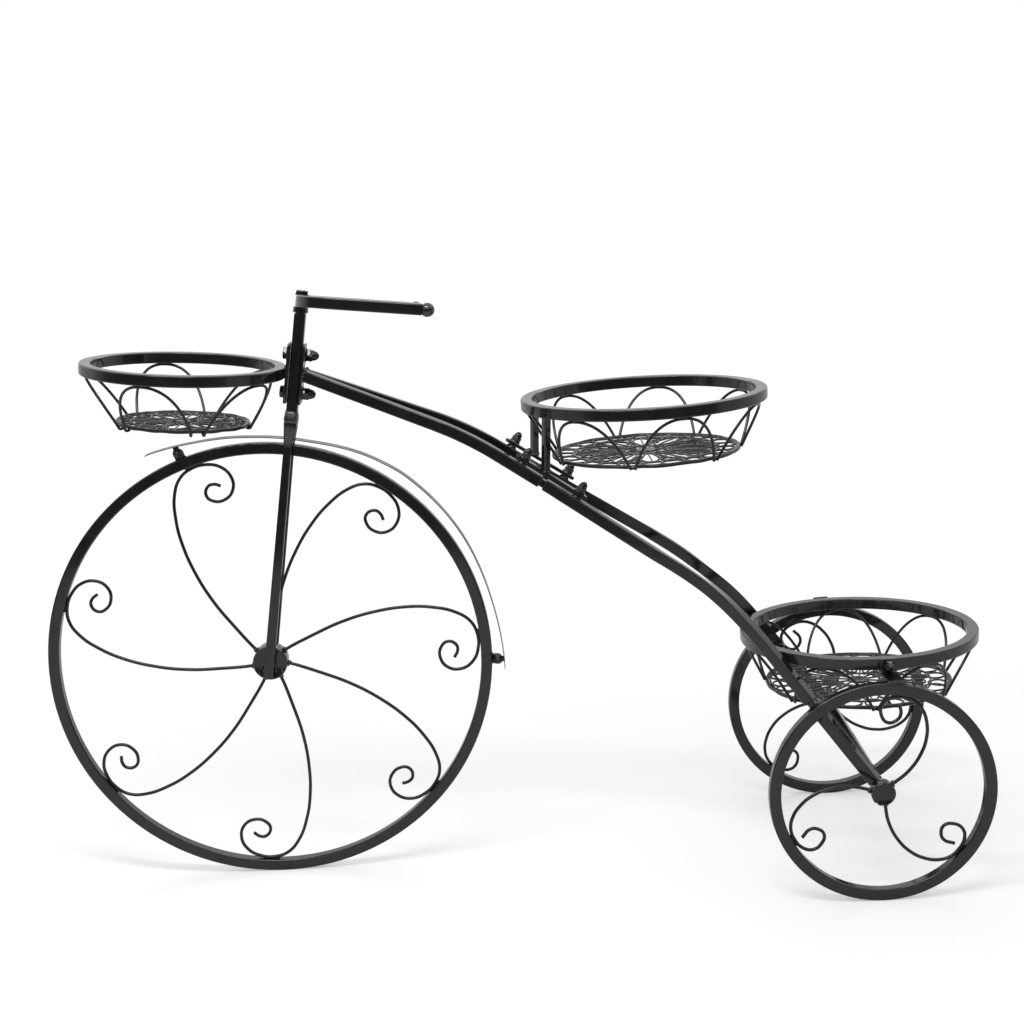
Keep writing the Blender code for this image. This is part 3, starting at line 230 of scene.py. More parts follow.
class Welds:
    """Welds of one piece, uneven by chance."""

    def __init__(self, seed):
        self.bm = bmesh.new()
        self.chance = Random(seed)

    def bead(self, centre, along, length, radius):
        """One bead: a stretched ball with an uneven skin, half sunk in the joint."""
        turn = Vector(along).to_track_quat("Z", "Y").to_matrix().to_4x4()
        shape = Matrix.Translation(centre) @ turn @ Matrix.Diagonal((radius, radius, length / 2, 1))
        for vert in bmesh.ops.create_icosphere(self.bm, subdivisions=2, radius=1)["verts"]:
            vert.co = shape @ (vert.co * self.chance.uniform(0.87, 1.13))

    def collar(self, wheel, wheel_turn, radius, length, proud):
        """Uneven band of weld all round a hoop's tube, at a turn of the hoop."""
        place = wheel @ spin(wheel_turn) @ shift(radius - half_tube) @ upright
        rows = []
        for share in (-1, -0.5, 0, 0.5, 1):
            row = []
            for turn in all_round(COLLAR_FACETS):
                flat = half_tube / max(abs(cos(turn)), abs(sin(turn)))
                reach = min(flat, half_tube * 1.22) - 0.0002
                if abs(share) < 1:
                    reach += proud * self.chance.uniform(0.5, 1.3)
                level = share * length / 2 + self.chance.uniform(-0.1, 0.1) * length
                row.append(place @ polar(reach, turn, level))
            rows.append(row)
        skinned(self.bm, rows)

    def fitted(self, name, slot="frame_paint"):
        """Piece of all the welds."""
        fitted(name, self.bm, weld_enamel, slot)


half_tube = TUBE_WIDTH / 2
square = flat_section(TUBE_WIDTH, TUBE_WIDTH)
sideways = Vector((0, 1, 0))
hub_low, hub_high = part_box("front_wheel_hub")
front_hub = (hub_low + hub_high) / 2
upright = spin(pi / 2, "X")
front_wheel = Matrix.Translation(front_hub) @ upright
fixings = [front_wheel @ spin(radians(turn - 90)) @ spin(-pi / 2, "X") for turn in FENDER_FIXING_TURNS]

tube_enamel = enamel("tube_enamel")
weld_enamel = enamel("weld_enamel", grey=0.014, dull=0.30, shine=0.14, lumps=0.00018)
hoop("front_rim", front_wheel, FRONT_WHEEL_RADIUS, FRONT_RIM_STATIONS, "wheel_paint", "front_wheel_rim")

lugs_bm = bmesh.new()
for place in fixings:
    tapered(lugs_bm, LUG_THICKNESS, [
        (place @ shift(z=FRONT_WHEEL_RADIUS + level), width) for level, width in (
            (-LUG_ROOT, LUG_WIDTH), (LUG_HEIGHT * 0.7, LUG_WIDTH),
            (LUG_HEIGHT * 0.92, LUG_WIDTH * 0.7), (LUG_HEIGHT, LUG_WIDTH * 0.4),
        )
    ])
fitted("fender_lugs", lugs_bm, tube_enamel, "wheel_paint", edge=LUG_EDGE)

welds = Welds(11)
welds.collar(front_wheel, RIM_WELD_TURN, FRONT_WHEEL_RADIUS, length=0.0034, proud=0.00035)
for place in fixings:
    along = place.to_3x3() @ Vector((-1, 0, 0))
    for step in (-0.35, 0.0, 0.35):
        for side in (-1, 1):
            spot = place @ Vector((-step * LUG_WIDTH, side * LUG_THICKNESS / 2, FRONT_WHEEL_RADIUS))
            welds.bead(spot, along, 0.0040, 0.0009)
welds.fitted("front_rim_welds", "wheel_paint")


# Front wheel scrolls. Seven S scrolls of 3 mm round steel wire, bent on a jig, with
# the foot welded to the hub and the back of the curl welded to the inside of the rim.

SCROLL_WIRE_RADIUS = 0.0015
FRONT_HUB_RADIUS = 0.0155
FRONT_SCROLL_SHARES = (
    (0.050, 0.085), (0.100, 0.215), (0.150, 0.370), (0.178, 0.530), (0.182, 0.680),
    (0.165, 0.800), (0.125, 0.912), (0.070, 0.977), (0.003, 1.000), (-0.060, 0.996),
    (-0.125, 0.962), (-0.156, 0.900), (-0.140, 0.838), (-0.088, 0.808), (-0.035, 0.820),
    (-0.013, 0.855), (-0.035, 0.893), (-0.065, 0.895), (-0.095, 0.876),
)
FRONT_SCROLL_TURNS = (4.5, 55.0, 107.5, 161.5, 216.5, 266.5, 318.5)


def wire_piece(name, paths, radius, finish, slot, nodes=(), closed=False, smooth=5, sides=3):
    """Piece of round wire along smooth paths."""
    wire = bpy.data.curves.new(name, "CURVE")
    wire.dimensions = "3D"
    wire.bevel_depth = radius
    wire.bevel_resolution = sides
    wire.use_fill_caps = True
    for path in paths:
        spline = wire.splines.new("BEZIER")
        spline.bezier_points.add(len(path) - 1)
        for knot, place in zip(spline.bezier_points, path):
            knot.co = place
            knot.handle_left_type = "AUTO"
            knot.handle_right_type = "AUTO"
        spline.use_cyclic_u = closed
        spline.resolution_u = smooth
        spline.use_smooth = True
    fitted(name, wire, finish, slot, nodes)


def scroll_path(wheel, turn, shares, hand, reach, hub_radius):
    """Centre line of one scroll, from its foot on the hub to the end of its curl."""
    out = polar(1, turn)
    across = Vector((-out.y, out.x, 0)) * hand
    path = [across * (aside * reach) + out * (far * reach) for aside, far in shares]
    path = [point for point in path if point.length > hub_radius + 2 * SCROLL_WIRE_RADIUS]
    return [wheel @ point for point in [path[0].normalized() * (hub_radius - 0.0004)] + path]


def scroll_set(prefix, node, wheel, turns, shares, hand, rim_radius, hub_radius, seed):
    """All scrolls of one wheel, and the welds at their feet and their curls."""
    reach = rim_radius - TUBE_WIDTH - SCROLL_WIRE_RADIUS - GAP
    welds = Welds(seed)
    for number, degrees in enumerate(turns, 1):
        path = scroll_path(wheel, radians(degrees), shares, hand, reach, hub_radius)
        name, node_name = ("%s_%d" % (stem, number) for stem in (prefix, node))
        wire_piece(name, [path], SCROLL_WIRE_RADIUS, wire_enamel, "wheel_paint", [node_name])
        out = (path[0] - wheel.translation).normalized()
        round_hub = out.cross(sideways)
        welds.bead(path[0] + out * 0.0006, round_hub, 0.0062, 0.0018)
        welds.bead(path[0] + out * 0.0018 + round_hub * 0.0009, out, 0.0040, 0.0020)
        touch = max(path, key=lambda point: (point - wheel.translation).length)
        out = (touch - wheel.translation).normalized()
        welds.bead(touch + out * (SCROLL_WIRE_RADIUS * 0.8), out.cross(sideways), 0.0120, 0.0010)
    welds.fitted(prefix + "_welds", "wheel_paint")


wire_enamel = enamel("wire_enamel", grey=0.009, dull=0.22, shine=0.12, peel=0.00002, lumps=0.00004, coat=0.08)
scroll_set(
    "front_scroll", "front_wheel_scroll", front_wheel, FRONT_SCROLL_TURNS, FRONT_SCROLL_SHARES, hand=1,
    rim_radius=FRONT_WHEEL_RADIUS, hub_radius=FRONT_HUB_RADIUS, seed=21,
)


# Front hub. A short length of round bar across the wheel, edges filed, with the two fork
# legs welded to its faces and a run of spatter and enamel drips beside the near leg.

FRONT_HUB_LENGTH = 0.018
HUB_FACETS = 64
FILED_EDGE = ((0.0014, 0.0002), (0.0010, 0), (0.0003, 0.0003), (0, 0.0010))


def turned(bm, rows, place, facets=36):
    """Turned shape: each row is a radius, a height and, if hexagonal, its corners' share."""
    rings = []
    for radius, height, *corner in rows:
        ring = []
        for turn in all_round(facets):
            reach = radius
            if corner:
                part = (turn + pi / 6) % (pi / 3) - pi / 6
                reach = min(radius / cos(part), radius * corner[0])
            ring.append(place @ polar(reach, turn, height))
        rings.append(ring)
    skinned(bm, rings)


def turned_piece(name, rows, place, finish, slot, nodes=(), facets=36, sharp=0):
    """Piece that is one turned shape."""
    bm = bmesh.new()
    turned(bm, rows, place, facets)
    fitted(name, bm, finish, slot, nodes, sharp=sharp)


def hub_disc(name, wheel, radius, length, node):
    """Hub with a filed edge."""
    half = length / 2
    rows = [(radius - inset, -half + drop) for inset, drop in FILED_EDGE]
    rows += [(radius - inset, half - drop) for inset, drop in FILED_EDGE[::-1]]
    turned_piece(name, rows, wheel, tube_enamel, "wheel_paint", [node], HUB_FACETS, sharp=50)


hub_disc("front_hub", front_wheel, FRONT_HUB_RADIUS, FRONT_HUB_LENGTH, "front_wheel_hub")
drips = Welds(31)
near_face = front_hub - Vector((0, FRONT_HUB_LENGTH / 2, 0))
for x, z, size in (
    (-0.0072, -0.0035, 0.0021), (-0.0060, -0.0064, 0.0016), (0.0042, -0.0028, 0.0014),
    (0.0048, -0.0062, 0.0020), (0.0105, -0.0070, 0.0019), (-0.0098, -0.0092, 0.0014),
):
    drips.bead(near_face + Vector((x, 0.0003, z)), (0, 0, 1), size * 2.6, size * 0.8)
drips.fitted("front_hub_drips", "wheel_paint")


# Steerer, fork crown, collar and fork legs. The steerer is an upright of the same square
# tube, leaning back; two flat forged legs are welded under it and pass either side of the
# wheel. The flattened crown is lumpy with weld. A turned collar closes the steerer's top.

STEERER_BOTTOM = 0.2258
STEERER_TOP = 0.3156
CROWN_HEIGHT = 0.005
CROWN_WIDTH = 0.0116
CROWN_FACETS = 24
CROWN_ROWS = (
    (-0.0125, 0.0085, 0.0120), (-0.0075, 0.0118, 0.0148), (-0.0040, 0.0124, 0.0158),
    (-0.0010, 0.0122, 0.0150), (0.0020, 0.0112, 0.0122), (0.0040, 0.0106, 0.0106),
)
COLLAR_RADIUS = 0.0068
COLLAR_HEIGHT = 0.005
LEG_THICKNESS = 0.005
LEG_TOP_SPREAD = 0.005
LEG_SHOULDER_DROP = 0.0254
LEG_NECK_WIDTH = 0.0072
LEG_TIP_WIDTH = 0.009
LEG_TIP_BELOW_HUB = 0.0135
LEG_EDGE = 0.0012
SIDES = (("left", -1), ("right", 1))

swivel = frame["joints"][0]
lean = Vector(swivel["axis"]).normalized()
rearward = sideways.cross(lean).normalized()
steering = axes(rearward, lean.cross(rearward), lean, front_hub)

steerer_ends = [steering @ shift(z=level) for level in (STEERER_BOTTOM, STEERER_TOP)]
bar("steerer", square, steerer_ends, ["steerer_tube"])

turned_piece("collar", [
    (COLLAR_RADIUS - inset, STEERER_TOP + rise) for inset, rise in (
        (0.0008, GAP), (0, GAP + 0.0005), (0, 0.0022), (0.0007, 0.0025), (0.0007, 0.0030),
        (0.0002, 0.0033), (0.0002, COLLAR_HEIGHT - 0.0002), (0.0008, COLLAR_HEIGHT + GAP),
    )
], steering, tube_enamel, "frame_paint", ["steerer_collar"], sharp=40)

leg_top = STEERER_BOTTOM - CROWN_HEIGHT - GAP
leg_neck = leg_top - LEG_SHOULDER_DROP
leg_spread = FRONT_HUB_LENGTH / 2 + GAP + LEG_THICKNESS / 2
levels = [leg_top - LEG_SHOULDER_DROP * i / 12 for i in range(13)]
levels += [0.16, 0.12, 0.08, 0.04, 0, -LEG_TIP_BELOW_HUB]
for side, sign in SIDES:
    rows = []
    for level in levels:
        share = min(max((leg_top - level) / LEG_SHOULDER_DROP, 0), 1)
        flow = share * share * (3 - 2 * share)
        width = CROWN_WIDTH + (LEG_NECK_WIDTH - CROWN_WIDTH) * flow
        if level < leg_neck:
            run = (leg_neck - level) / (leg_neck + LEG_TIP_BELOW_HUB)
            width = LEG_NECK_WIDTH + (LEG_TIP_WIDTH - LEG_NECK_WIDTH) * run
        spread = LEG_TOP_SPREAD + (leg_spread - LEG_TOP_SPREAD) * flow
        rows.append((steering @ shift(0, sign * spread, level), width))
    leg_bm = bmesh.new()
    tapered(leg_bm, LEG_THICKNESS, rows)
    fitted("fork_blade_" + side, leg_bm, tube_enamel, "frame_paint", ["fork_leg_" + side], edge=LEG_EDGE)

chance = Random(41)
crown_rows = []
for level, width, span in CROWN_ROWS:
    row = []
    for turn in all_round(CROWN_FACETS):
        boxed = 1 / (abs(cos(turn)) ** 5 + abs(sin(turn)) ** 5) ** 0.2
        swell = boxed * chance.uniform(0.93, 1.06)
        x = cos(turn) * width / 2 * swell
        y = sin(turn) * span / 2 * swell
        row.append(steering @ Vector((x, y, STEERER_BOTTOM + level)))
    crown_rows.append(row)
crown_bm = bmesh.new()
skinned(crown_bm, crown_rows)
# The crown's enamel is painted a lighter grey than the rest of the black enamel: a painted sheen for the glints
# on its weld lumps. The lumps themselves are real bumps.
crown_painted_sheen_enamel = enamel("crown_painted_sheen_enamel", grey=0.030, dull=0.22, shine=0.06, lumps=0.0009, coat=0.8)
fitted("fork_crown", crown_bm, crown_painted_sheen_enamel, "frame_paint")


# Clamp. Two flat plates hold the front basket's ring and the frame tubes to the steerer
# between them: two hex bolts run through from the front into deep acorn nuts at the back,
# with pressed washers under both. The ring and the tubes are welded to their plates.

PLATE_BOTTOM = 0.236
PLATE_HEIGHT = 0.053
PLATE_WIDTH = 0.022
PLATE_CORNER = 0.0022
PLATE_EDGE = 0.0005
FRONT_PLATE_THICKNESS = 0.0025
REAR_PLATE_THICKNESS = 0.002
BOLT_MARGIN = 0.0095
BOLT_FLATS = 0.010
BOLT_HEAD_HEIGHT = 0.004
CLAMP_NUT_HEIGHT = 0.012

facing_rear = spin(pi / 2, "Y")
facing_front = spin(-pi / 2, "Y")
front_plate_x = -(half_tube + GAP + FRONT_PLATE_THICKNESS)
rear_plate_x = half_tube + GAP
clamp_levels = (PLATE_BOTTOM + BOLT_MARGIN, PLATE_BOTTOM + PLATE_HEIGHT - BOLT_MARGIN)


def clipped(width, height, corner, steps):
    """Outline of a flat plate, each corner clipped round in a few steps."""
    outline = []
    for quarter, (x, y) in enumerate(((1, 1), (-1, 1), (-1, -1), (1, -1))):
        middle = Vector((x * (width / 2 - corner), y * (height / 2 - corner), 0))
        outline += [middle + polar(corner, pi / 2 * (quarter + i / steps)) for i in range(steps + 1)]
    return outline


def clamp_plate(name, front, thickness, node):
    """Flat plate across the steerer."""
    middle = PLATE_BOTTOM + PLATE_HEIGHT / 2
    stand_up = axes(sideways, (0, 0, 1), (1, 0, 0))
    faces = [steering @ shift(x, 0, middle) @ stand_up for x in (front, front + thickness)]
    outline = clipped(PLATE_WIDTH, PLATE_HEIGHT, PLATE_CORNER, 3)
    bar(name, outline, faces, [node], edge=PLATE_EDGE)


clamp_plate("clamp_front", front_plate_x, FRONT_PLATE_THICKNESS, "front_clamp_plate")
clamp_plate("clamp_rear", rear_plate_x, REAR_PLATE_THICKNESS, "rear_clamp_plate")


def hex_head(name, flats, height, place, node):
    """Hex head with its corners chamfered, on a pressed washer."""
    half = flats / 2
    turned_piece(name, [
        (half * 1.22, 0), (half * 1.26, 0.0003), (half * 1.22, 0.0007), (half * 1.02, 0.0009, 1.15),
        (half, 0.0009, 1.15), (half, height - 0.0008, 1.15), (half * 0.97, height - 0.0003, 1.06),
        (half * 0.88, height, 1.0),
    ], place, nut_enamel, "fastener_paint", [node], sharp=28)


def acorn_nut(name, flats, height, place, node, hex_share=0.52):
    """Acorn nut: hex foot on a thin washer, smooth domed cap."""
    half = flats / 2
    hex_top = height * hex_share
    rows = [
        (half * 1.24, 0), (half * 1.29, 0.0003), (half * 1.24, 0.0008), (half * 1.0, 0.0010, 1.15),
        (half, 0.0012, 1.15), (half, hex_top - 0.0005, 1.15), (half * 0.96, hex_top, 1.06),
    ]
    dome = height - hex_top
    for i in range(8):
        turn = pi / 2 * i / 7.4
        rows.append((half * 0.90 * cos(turn), hex_top + dome * sin(turn)))
    turned_piece(name, rows, place, nut_enamel, "fastener_paint", [node], sharp=30)


nut_enamel = enamel("nut_enamel", grey=0.005, dull=0.10, shine=0.03, peel=0.00001, coat=0.3)
head_seat = front_plate_x - GAP
nut_seat = rear_plate_x + REAR_PLATE_THICKNESS + GAP
for end, level in zip(("lower", "upper"), clamp_levels):
    head_place = steering @ shift(head_seat, 0, level) @ facing_front
    nut_place = steering @ shift(nut_seat, 0, level) @ facing_rear
    hex_head("clamp_head_" + end, BOLT_FLATS, BOLT_HEAD_HEIGHT, head_place, "clamp_bolt_" + end)
    acorn_nut("clamp_acorn_" + end, BOLT_FLATS, CLAMP_NUT_HEIGHT, nut_place, "clamp_cap_nut_" + end)


# Front basket. A hoop of the square tube with five arches of thin wire under it, each
# foot hooked round the floor's hoop. The floor is a lace of thin cast strands: a row of
# round eyes, leaves with veins, and a small boss in the middle.

FRONT_RING_RADIUS = 0.0892
FRONT_FLOOR_RADIUS = 0.0589
FRONT_BASKET_DEPTH = 0.0466
FRONT_ARCH_TURN = radians(255.5)
FRONT_FOOT_SPACING = 0.0115
PAIRED_FOOT_SPACING = 0.0036
SMALL_HOOP_STATIONS = 112
ARCH_STEPS = 20
ARCH_WIRE_RADIUS = 0.0013
FOOT_HOOK = ((0.0006, 0.0011), (0.0028, 0.0014), (0.0048, 0.0004))
HOOP_WIRE_RADIUS = 0.0017
HOOP_WIDTH = 0.0036
HOOP_POINTS = 48
FLOOR_THICKNESS = 0.0025
STRAND_RADIUS = 0.00092
STRAND_WOBBLE = (0.0005, 0.0005, 0.0003)
LACE_RINGS = ((0.985, 40), (0.80, 36), (0.24, 16))
LEAF = ((0.26, 0.0), (0.38, 0.62), (0.52, 1.0), (0.66, 0.78), (0.78, 0.0))
BOSS = ((0.115, -0.0010), (0.125, -0.0002), (0.110, 0.0008), (0.060, 0.0011), (0.030, 0.0005), (0.008, 0.0009))

mounts = {mount["name"]: mount for mount in frame["record"]["mounts"]}


def basket_place(mount, depth):
    """Middle of a basket's ring, from the seat on its floor."""
    up = Vector(mount["axis"]).normalized()
    back = sideways.cross(up).normalized()
    middle = Vector(mount["pos_m"]) + up * (depth - FLOOR_THICKNESS / 2)
    return axes(back, up.cross(back), up, middle)


def arch_path(place, centre, half_angle, crown_radius, foot_radius, depth, hook):
    """One arch from foot to foot over its crown, each foot turned in under the hoop."""
    crown_level = -half_tube - ARCH_WIRE_RADIUS
    foot_level = -depth - HOOP_WIDTH / 2
    path = []
    for i in range(ARCH_STEPS + 1):
        across = 2 * i / ARCH_STEPS - 1
        rise = 1 - abs(across) ** 2.3
        radius = foot_radius + (crown_radius - foot_radius) * rise
        level = foot_level + (crown_level - foot_level) * rise
        path.append(polar(radius, centre + half_angle * across, level))
    if hook:
        first, last = (
            [polar(foot_radius - inward, turn, foot_level - drop) for inward, drop in FOOT_HOOK]
            for turn in (centre - half_angle, centre + half_angle)
        )
        path = first[::-1] + path + last
    return [place @ point for point in path]


def lace_floor(name, place, radius, depth, leaves, eyes, node, seed):
    """Lace of strands for a basket's floor, all in one thin level."""
    chance = Random(seed)
    floor = place @ shift(z=-depth)
    rings = []
    strands = []

    def loop(points):
        return [
            floor @ (point + Vector([chance.uniform(-limit, limit) for limit in STRAND_WOBBLE]))
            for point in points
        ]

    for share, count in LACE_RINGS:
        rings.append(loop([polar(radius * share, turn) for turn in all_round(count)]))
    for i in range(eyes):
        turn = tau * (i + chance.uniform(-0.12, 0.12)) / eyes
        centre = polar(radius * 0.872, turn)
        size = radius * 0.110 * chance.uniform(0.85, 1.1)
        rings.append(loop([centre + polar(size, turn + step) for step in all_round(8)]))
    pitch = tau / leaves
    wide = radius * tan(pitch / 2) * 0.40
    curl = radius * 0.072
    for i in range(leaves):
        out = polar(1, i * pitch)
        across = Vector((-out.y, out.x, 0))
        sides = [out * (radius * far) + across * (wide * width) for far, width in LEAF]
        sides += [out * (radius * far) - across * (wide * width) for far, width in LEAF[-2:0:-1]]
        rings.append(loop(sides))
        strands.append(loop([out * (radius * far) for far in (0.22, 0.45, 0.62, 0.80)]))
        between = polar(1, i * pitch + pitch / 2)
        beside = Vector((-between.y, between.x, 0))
        for far, size in ((0.67, 1.0), (0.50, 0.70)):
            rings.append(loop([
                between * (radius * far) + (between * cos(a) + beside * sin(a)) * curl * size
                for a in (0, 0.9, 1.8, 2.7, 3.6, 4.5, 5.4)
            ]))
        strands.append(loop([between * (radius * far) for far in (0.10, 0.22, 0.38)]))
    look = (lace_enamel, "floor_paint")
    wire_piece(name, rings, STRAND_RADIUS, *look, [node], closed=True, smooth=3, sides=1)
    wire_piece(name + "_veins", strands, STRAND_RADIUS * 0.9, *look, smooth=2, sides=1)
    turned_piece(name + "_boss", [(radius * share, level) for share, level in BOSS], floor, *look, facets=24)


def basket(prefix, place, ring_radius, floor_radius, depth, arches, first, spacing, leaves, eyes, seam, seed):
    """Ring, arches, floor hoop, lace and welds of one basket; its nodes have the same prefix."""
    welds = Welds(seed)
    hoop(prefix + "_hoop", place, ring_radius, SMALL_HOOP_STATIONS, "basket_paint", prefix + "_ring")
    ring_middle = ring_radius - half_tube
    foot_radius = floor_radius + ARCH_WIRE_RADIUS - 0.0004
    pitch = tau / arches
    half_angle = pitch / 2 - spacing / 2 / foot_radius
    hook = spacing > PAIRED_FOOT_SPACING
    facing = place.to_3x3()
    paths = []
    welds.collar(place, seam, ring_radius, length=0.0026, proud=0.00018)
    for i in range(arches):
        crown = first + i * pitch
        paths.append(arch_path(place, crown, half_angle, ring_middle, foot_radius, depth, hook))
        spots = [(ring_middle, crown, -half_tube - 0.0006, 0.0110, 0.0012)]
        if not hook:
            spots.append((foot_radius - 0.0010, crown + pitch / 2, -depth - 0.0006, 0.0062, 0.0018))
        for radius, turn, level, length, size in spots:
            welds.bead(place @ polar(radius, turn, level), facing @ polar(1, turn + pi / 2), length, size)
    look = (wire_enamel, "basket_paint")
    wire_piece(prefix + "_wires", paths, ARCH_WIRE_RADIUS, *look, [prefix + "_arches"], smooth=3)

    rim = floor_radius - HOOP_WIRE_RADIUS
    wander = welds.chance.uniform
    rim_path = [
        place @ polar(rim + wander(-0.0004, 0.0002), turn, -depth + wander(-0.0003, 0.0003))
        for turn in all_round(HOOP_POINTS)
    ]
    wire_piece(prefix + "_floor_hoop", [rim_path], HOOP_WIRE_RADIUS, *look, closed=True, smooth=3)
    welds.fitted(prefix + "_welds", "basket_paint")
    lace_radius = floor_radius - HOOP_WIDTH + 0.0008
    lace_floor(prefix + "_lace", place, lace_radius, depth, leaves, eyes, prefix + "_floor", seed + 1)


lace_enamel = enamel("lace_enamel", grey=0.006, dull=0.16, shine=0.06, lumps=0.00020, coat=0.2)
basket(
    "front_basket", basket_place(mounts["front_pot_seat"], FRONT_BASKET_DEPTH), FRONT_RING_RADIUS,
    FRONT_FLOOR_RADIUS, FRONT_BASKET_DEPTH, arches=5, first=FRONT_ARCH_TURN, spacing=FRONT_FOOT_SPACING,
    leaves=8, eyes=18, seam=radians(352), seed=51,
)

welds = Welds(55)
for side in (-1, 1):
    touch = steering @ Vector((front_plate_x - 0.0004, side * 0.0062, PLATE_BOTTOM + 0.0285))
    welds.bead(touch, lean, 0.0115, 0.0016)
welds.fitted("front_ring_weld", "basket_paint")


# Fender. A thin strip of sheet steel bent by hand over the front wheel, so it wanders a
# little, with an ear spot-welded under it at each fixing. Each ear is bolted to its lug
# on the rim with a small acorn nut on the near side.

FENDER_THICKNESS = 0.0008
FENDER_WIDTH = 0.012
FENDER_CROWN = 0.00015
FENDER_LIFT = 0.0157
FENDER_STEPS = 120
FENDER_BOLT_HEIGHT = 0.0051
FENDER_NUT_FLATS = 0.0072
FENDER_NUT_HEIGHT = 0.0066
FENDER_SHARES = (
    (116.6, 1.00), (112.6, 0.84), (108.7, 0.70), (104.9, 0.57), (100.0, 0.465), (95.0, 0.38),
    (90.6, 0.30), (83.5, 0.265), (76.5, 0.26), (71.8, 0.33), (67.0, 0.43), (62.5, 0.51),
    (57.8, 0.56), (53.0, 0.62), (43.5, 0.59), (38.7, 0.58), (31.0, 0.54), (24.0, 0.48),
    (19.0, 0.45), (14.0, 0.44), (8.5, 0.48), (3.6, 0.55), (-0.5, 0.63), (-4.5, 0.72),
)


def value_at(pairs, x):
    """Value at an x on the line through pairs of x and value, with x rising."""
    for (low, first), (high, last) in zip(pairs, pairs[1:]):
        if low <= x <= high:
            return first + (last - first) * (x - low) / (high - low)
    return pairs[-1][1]


def fender_lift(turn):
    """Lift of the strip's underside off the rim at a turn in degrees."""
    return FENDER_LIFT * value_at(FENDER_SHARES[::-1], turn)


def direction_at(line, i):
    """Direction of a line of points at one of them."""
    return (line[min(i + 1, len(line) - 1)] - line[max(i - 1, 0)]).normalized()


first_turn = FENDER_SHARES[0][0]
last_turn = FENDER_SHARES[-1][0]
turns = [first_turn + (last_turn - first_turn) * i / FENDER_STEPS for i in range(FENDER_STEPS + 1)]
lifts = [fender_lift(turn) for turn in turns]
for _ in range(2):
    lifts = [
        (lifts[max(i - 1, 0)] + 2 * lift + lifts[min(i + 1, FENDER_STEPS)]) / 4 for i, lift in enumerate(lifts)
    ]
middle_line = [
    polar(FRONT_WHEEL_RADIUS + lift + FENDER_THICKNESS / 2, radians(turn)) for turn, lift in zip(turns, lifts)
]
stations = []
level = Vector((0, 0, 1))
for i, point in enumerate(middle_line):
    along = direction_at(middle_line, i)
    stations.append(front_wheel @ axes(level, along.cross(level), along, point))
half_strip = FENDER_WIDTH / 2
half_sheet = FENDER_THICKNESS / 2
shares = (-1, -0.5, 0, 0.5, 1)
strip = [(x * half_strip, -half_sheet + FENDER_CROWN * (1 - x * x), 0) for x in shares]
strip += [(x * half_strip, half_sheet - FENDER_CROWN * x * x, 0) for x in shares[::-1]]
fender_bm = bmesh.new()
swept(fender_bm, strip, stations)
fender_enamel = enamel("fender_enamel", grey=0.030, dull=0.34, shine=0.18, peel=0.000006)
fitted("fender_strip", fender_bm, fender_enamel, "fender_paint", ["fender"], sharp=40)

ears_bm = bmesh.new()
ear_near = -LUG_THICKNESS / 2 - GAP - LUG_THICKNESS
bolt_level = FRONT_WHEEL_RADIUS + FENDER_BOLT_HEIGHT
for end, turn, place in zip(("front", "rear"), FENDER_FIXING_TURNS, fixings):
    top = FRONT_WHEEL_RADIUS + fender_lift(turn) + 0.0002
    tapered(ears_bm, LUG_THICKNESS, [
        (place @ shift(0, ear_near + LUG_THICKNESS / 2, level), width) for level, width in (
            (FRONT_WHEEL_RADIUS + 0.0009, LUG_WIDTH), (bolt_level + 0.0010, LUG_WIDTH),
            (bolt_level + 0.0032, LUG_WIDTH * 0.62), (top, LUG_WIDTH * 0.55),
        )
    ])
    bolt = place @ shift(0, ear_near - GAP, bolt_level) @ upright
    acorn_nut("fender_acorn_" + end, FENDER_NUT_FLATS, FENDER_NUT_HEIGHT, bolt, "fender_cap_nut_" + end, 0.5)
fitted("fender_ears", ears_bm, tube_enamel, "fender_paint", edge=PLATE_EDGE)


# Frame tubes. Two bent lengths of the square tube run back from the clamp, spread under
# the middle basket and pass outside the rear basket to the axle. Each is jointed twice,
# where a swaged end enters the next tube and leaves a narrow neck showing.

FIRST_CORNER = (0.1877, 0.4003)
SECOND_CORNER = (0.4071, 0.2519)
TUBE_START_HEIGHT = 0.0262
SIDE_BENDS = (0.31, 0.35)
PLAN_BEND = 0.06
WHEELBASE = 0.5255
REAR_WHEEL_RADIUS = 0.0964
REAR_WHEEL_Y = 0.1284
REAR_HUB_LENGTH = 0.0132
REAR_RING_RADIUS = 0.1060
REAR_BASKET_X = 0.5314
REAR_BASKET_Z = 0.2013
FLARE_X = 0.406
FLARE_Y = 0.0505
FIRST_JOINT_X = 0.2516
SECOND_JOINT_X = 0.4735
JOINT_SEAM = 0.0036
NECK_WIDTH = 0.0068
NECK_REACH = 0.005
ROUTE_STEP = 0.004


def rounded(corners, bends, steps=16):
    """Line through corners, each inner corner rounded by its bend radius."""
    points = [Vector(corners[0])]
    for before, corner, after, radius in zip(corners, corners[1:], corners[2:], bends):
        corner = Vector(corner)
        inward = (Vector(before) - corner).normalized()
        outward = (Vector(after) - corner).normalized()
        bend = pi - inward.angle(outward)
        run = radius * tan(bend / 2)
        centre = corner + (inward + outward).normalized() * (radius / cos(bend / 2))
        first = corner + inward * run - centre
        last = corner + outward * run - centre
        for i in range(steps + 1):
            mixed = first * (1 - i / steps) + last * (i / steps)
            points.append(centre + mixed.normalized() * radius)
    points.append(Vector(corners[-1]))
    return points


def run_to(route, x):
    """Length along a route up to an X."""
    run = 0
    for low, high in zip(route, route[1:]):
        if high.x >= x:
            return run + (high - low).length * (x - low.x) / (high.x - low.x)
        run += (high - low).length
    return run


def point_on(route, distance):
    """Place on a route at a length along it."""
    for low, high in zip(route, route[1:]):
        step = (high - low).length
        if distance <= step:
            return low + (high - low) * (distance / step)
        distance -= step
    return route[-1].copy()


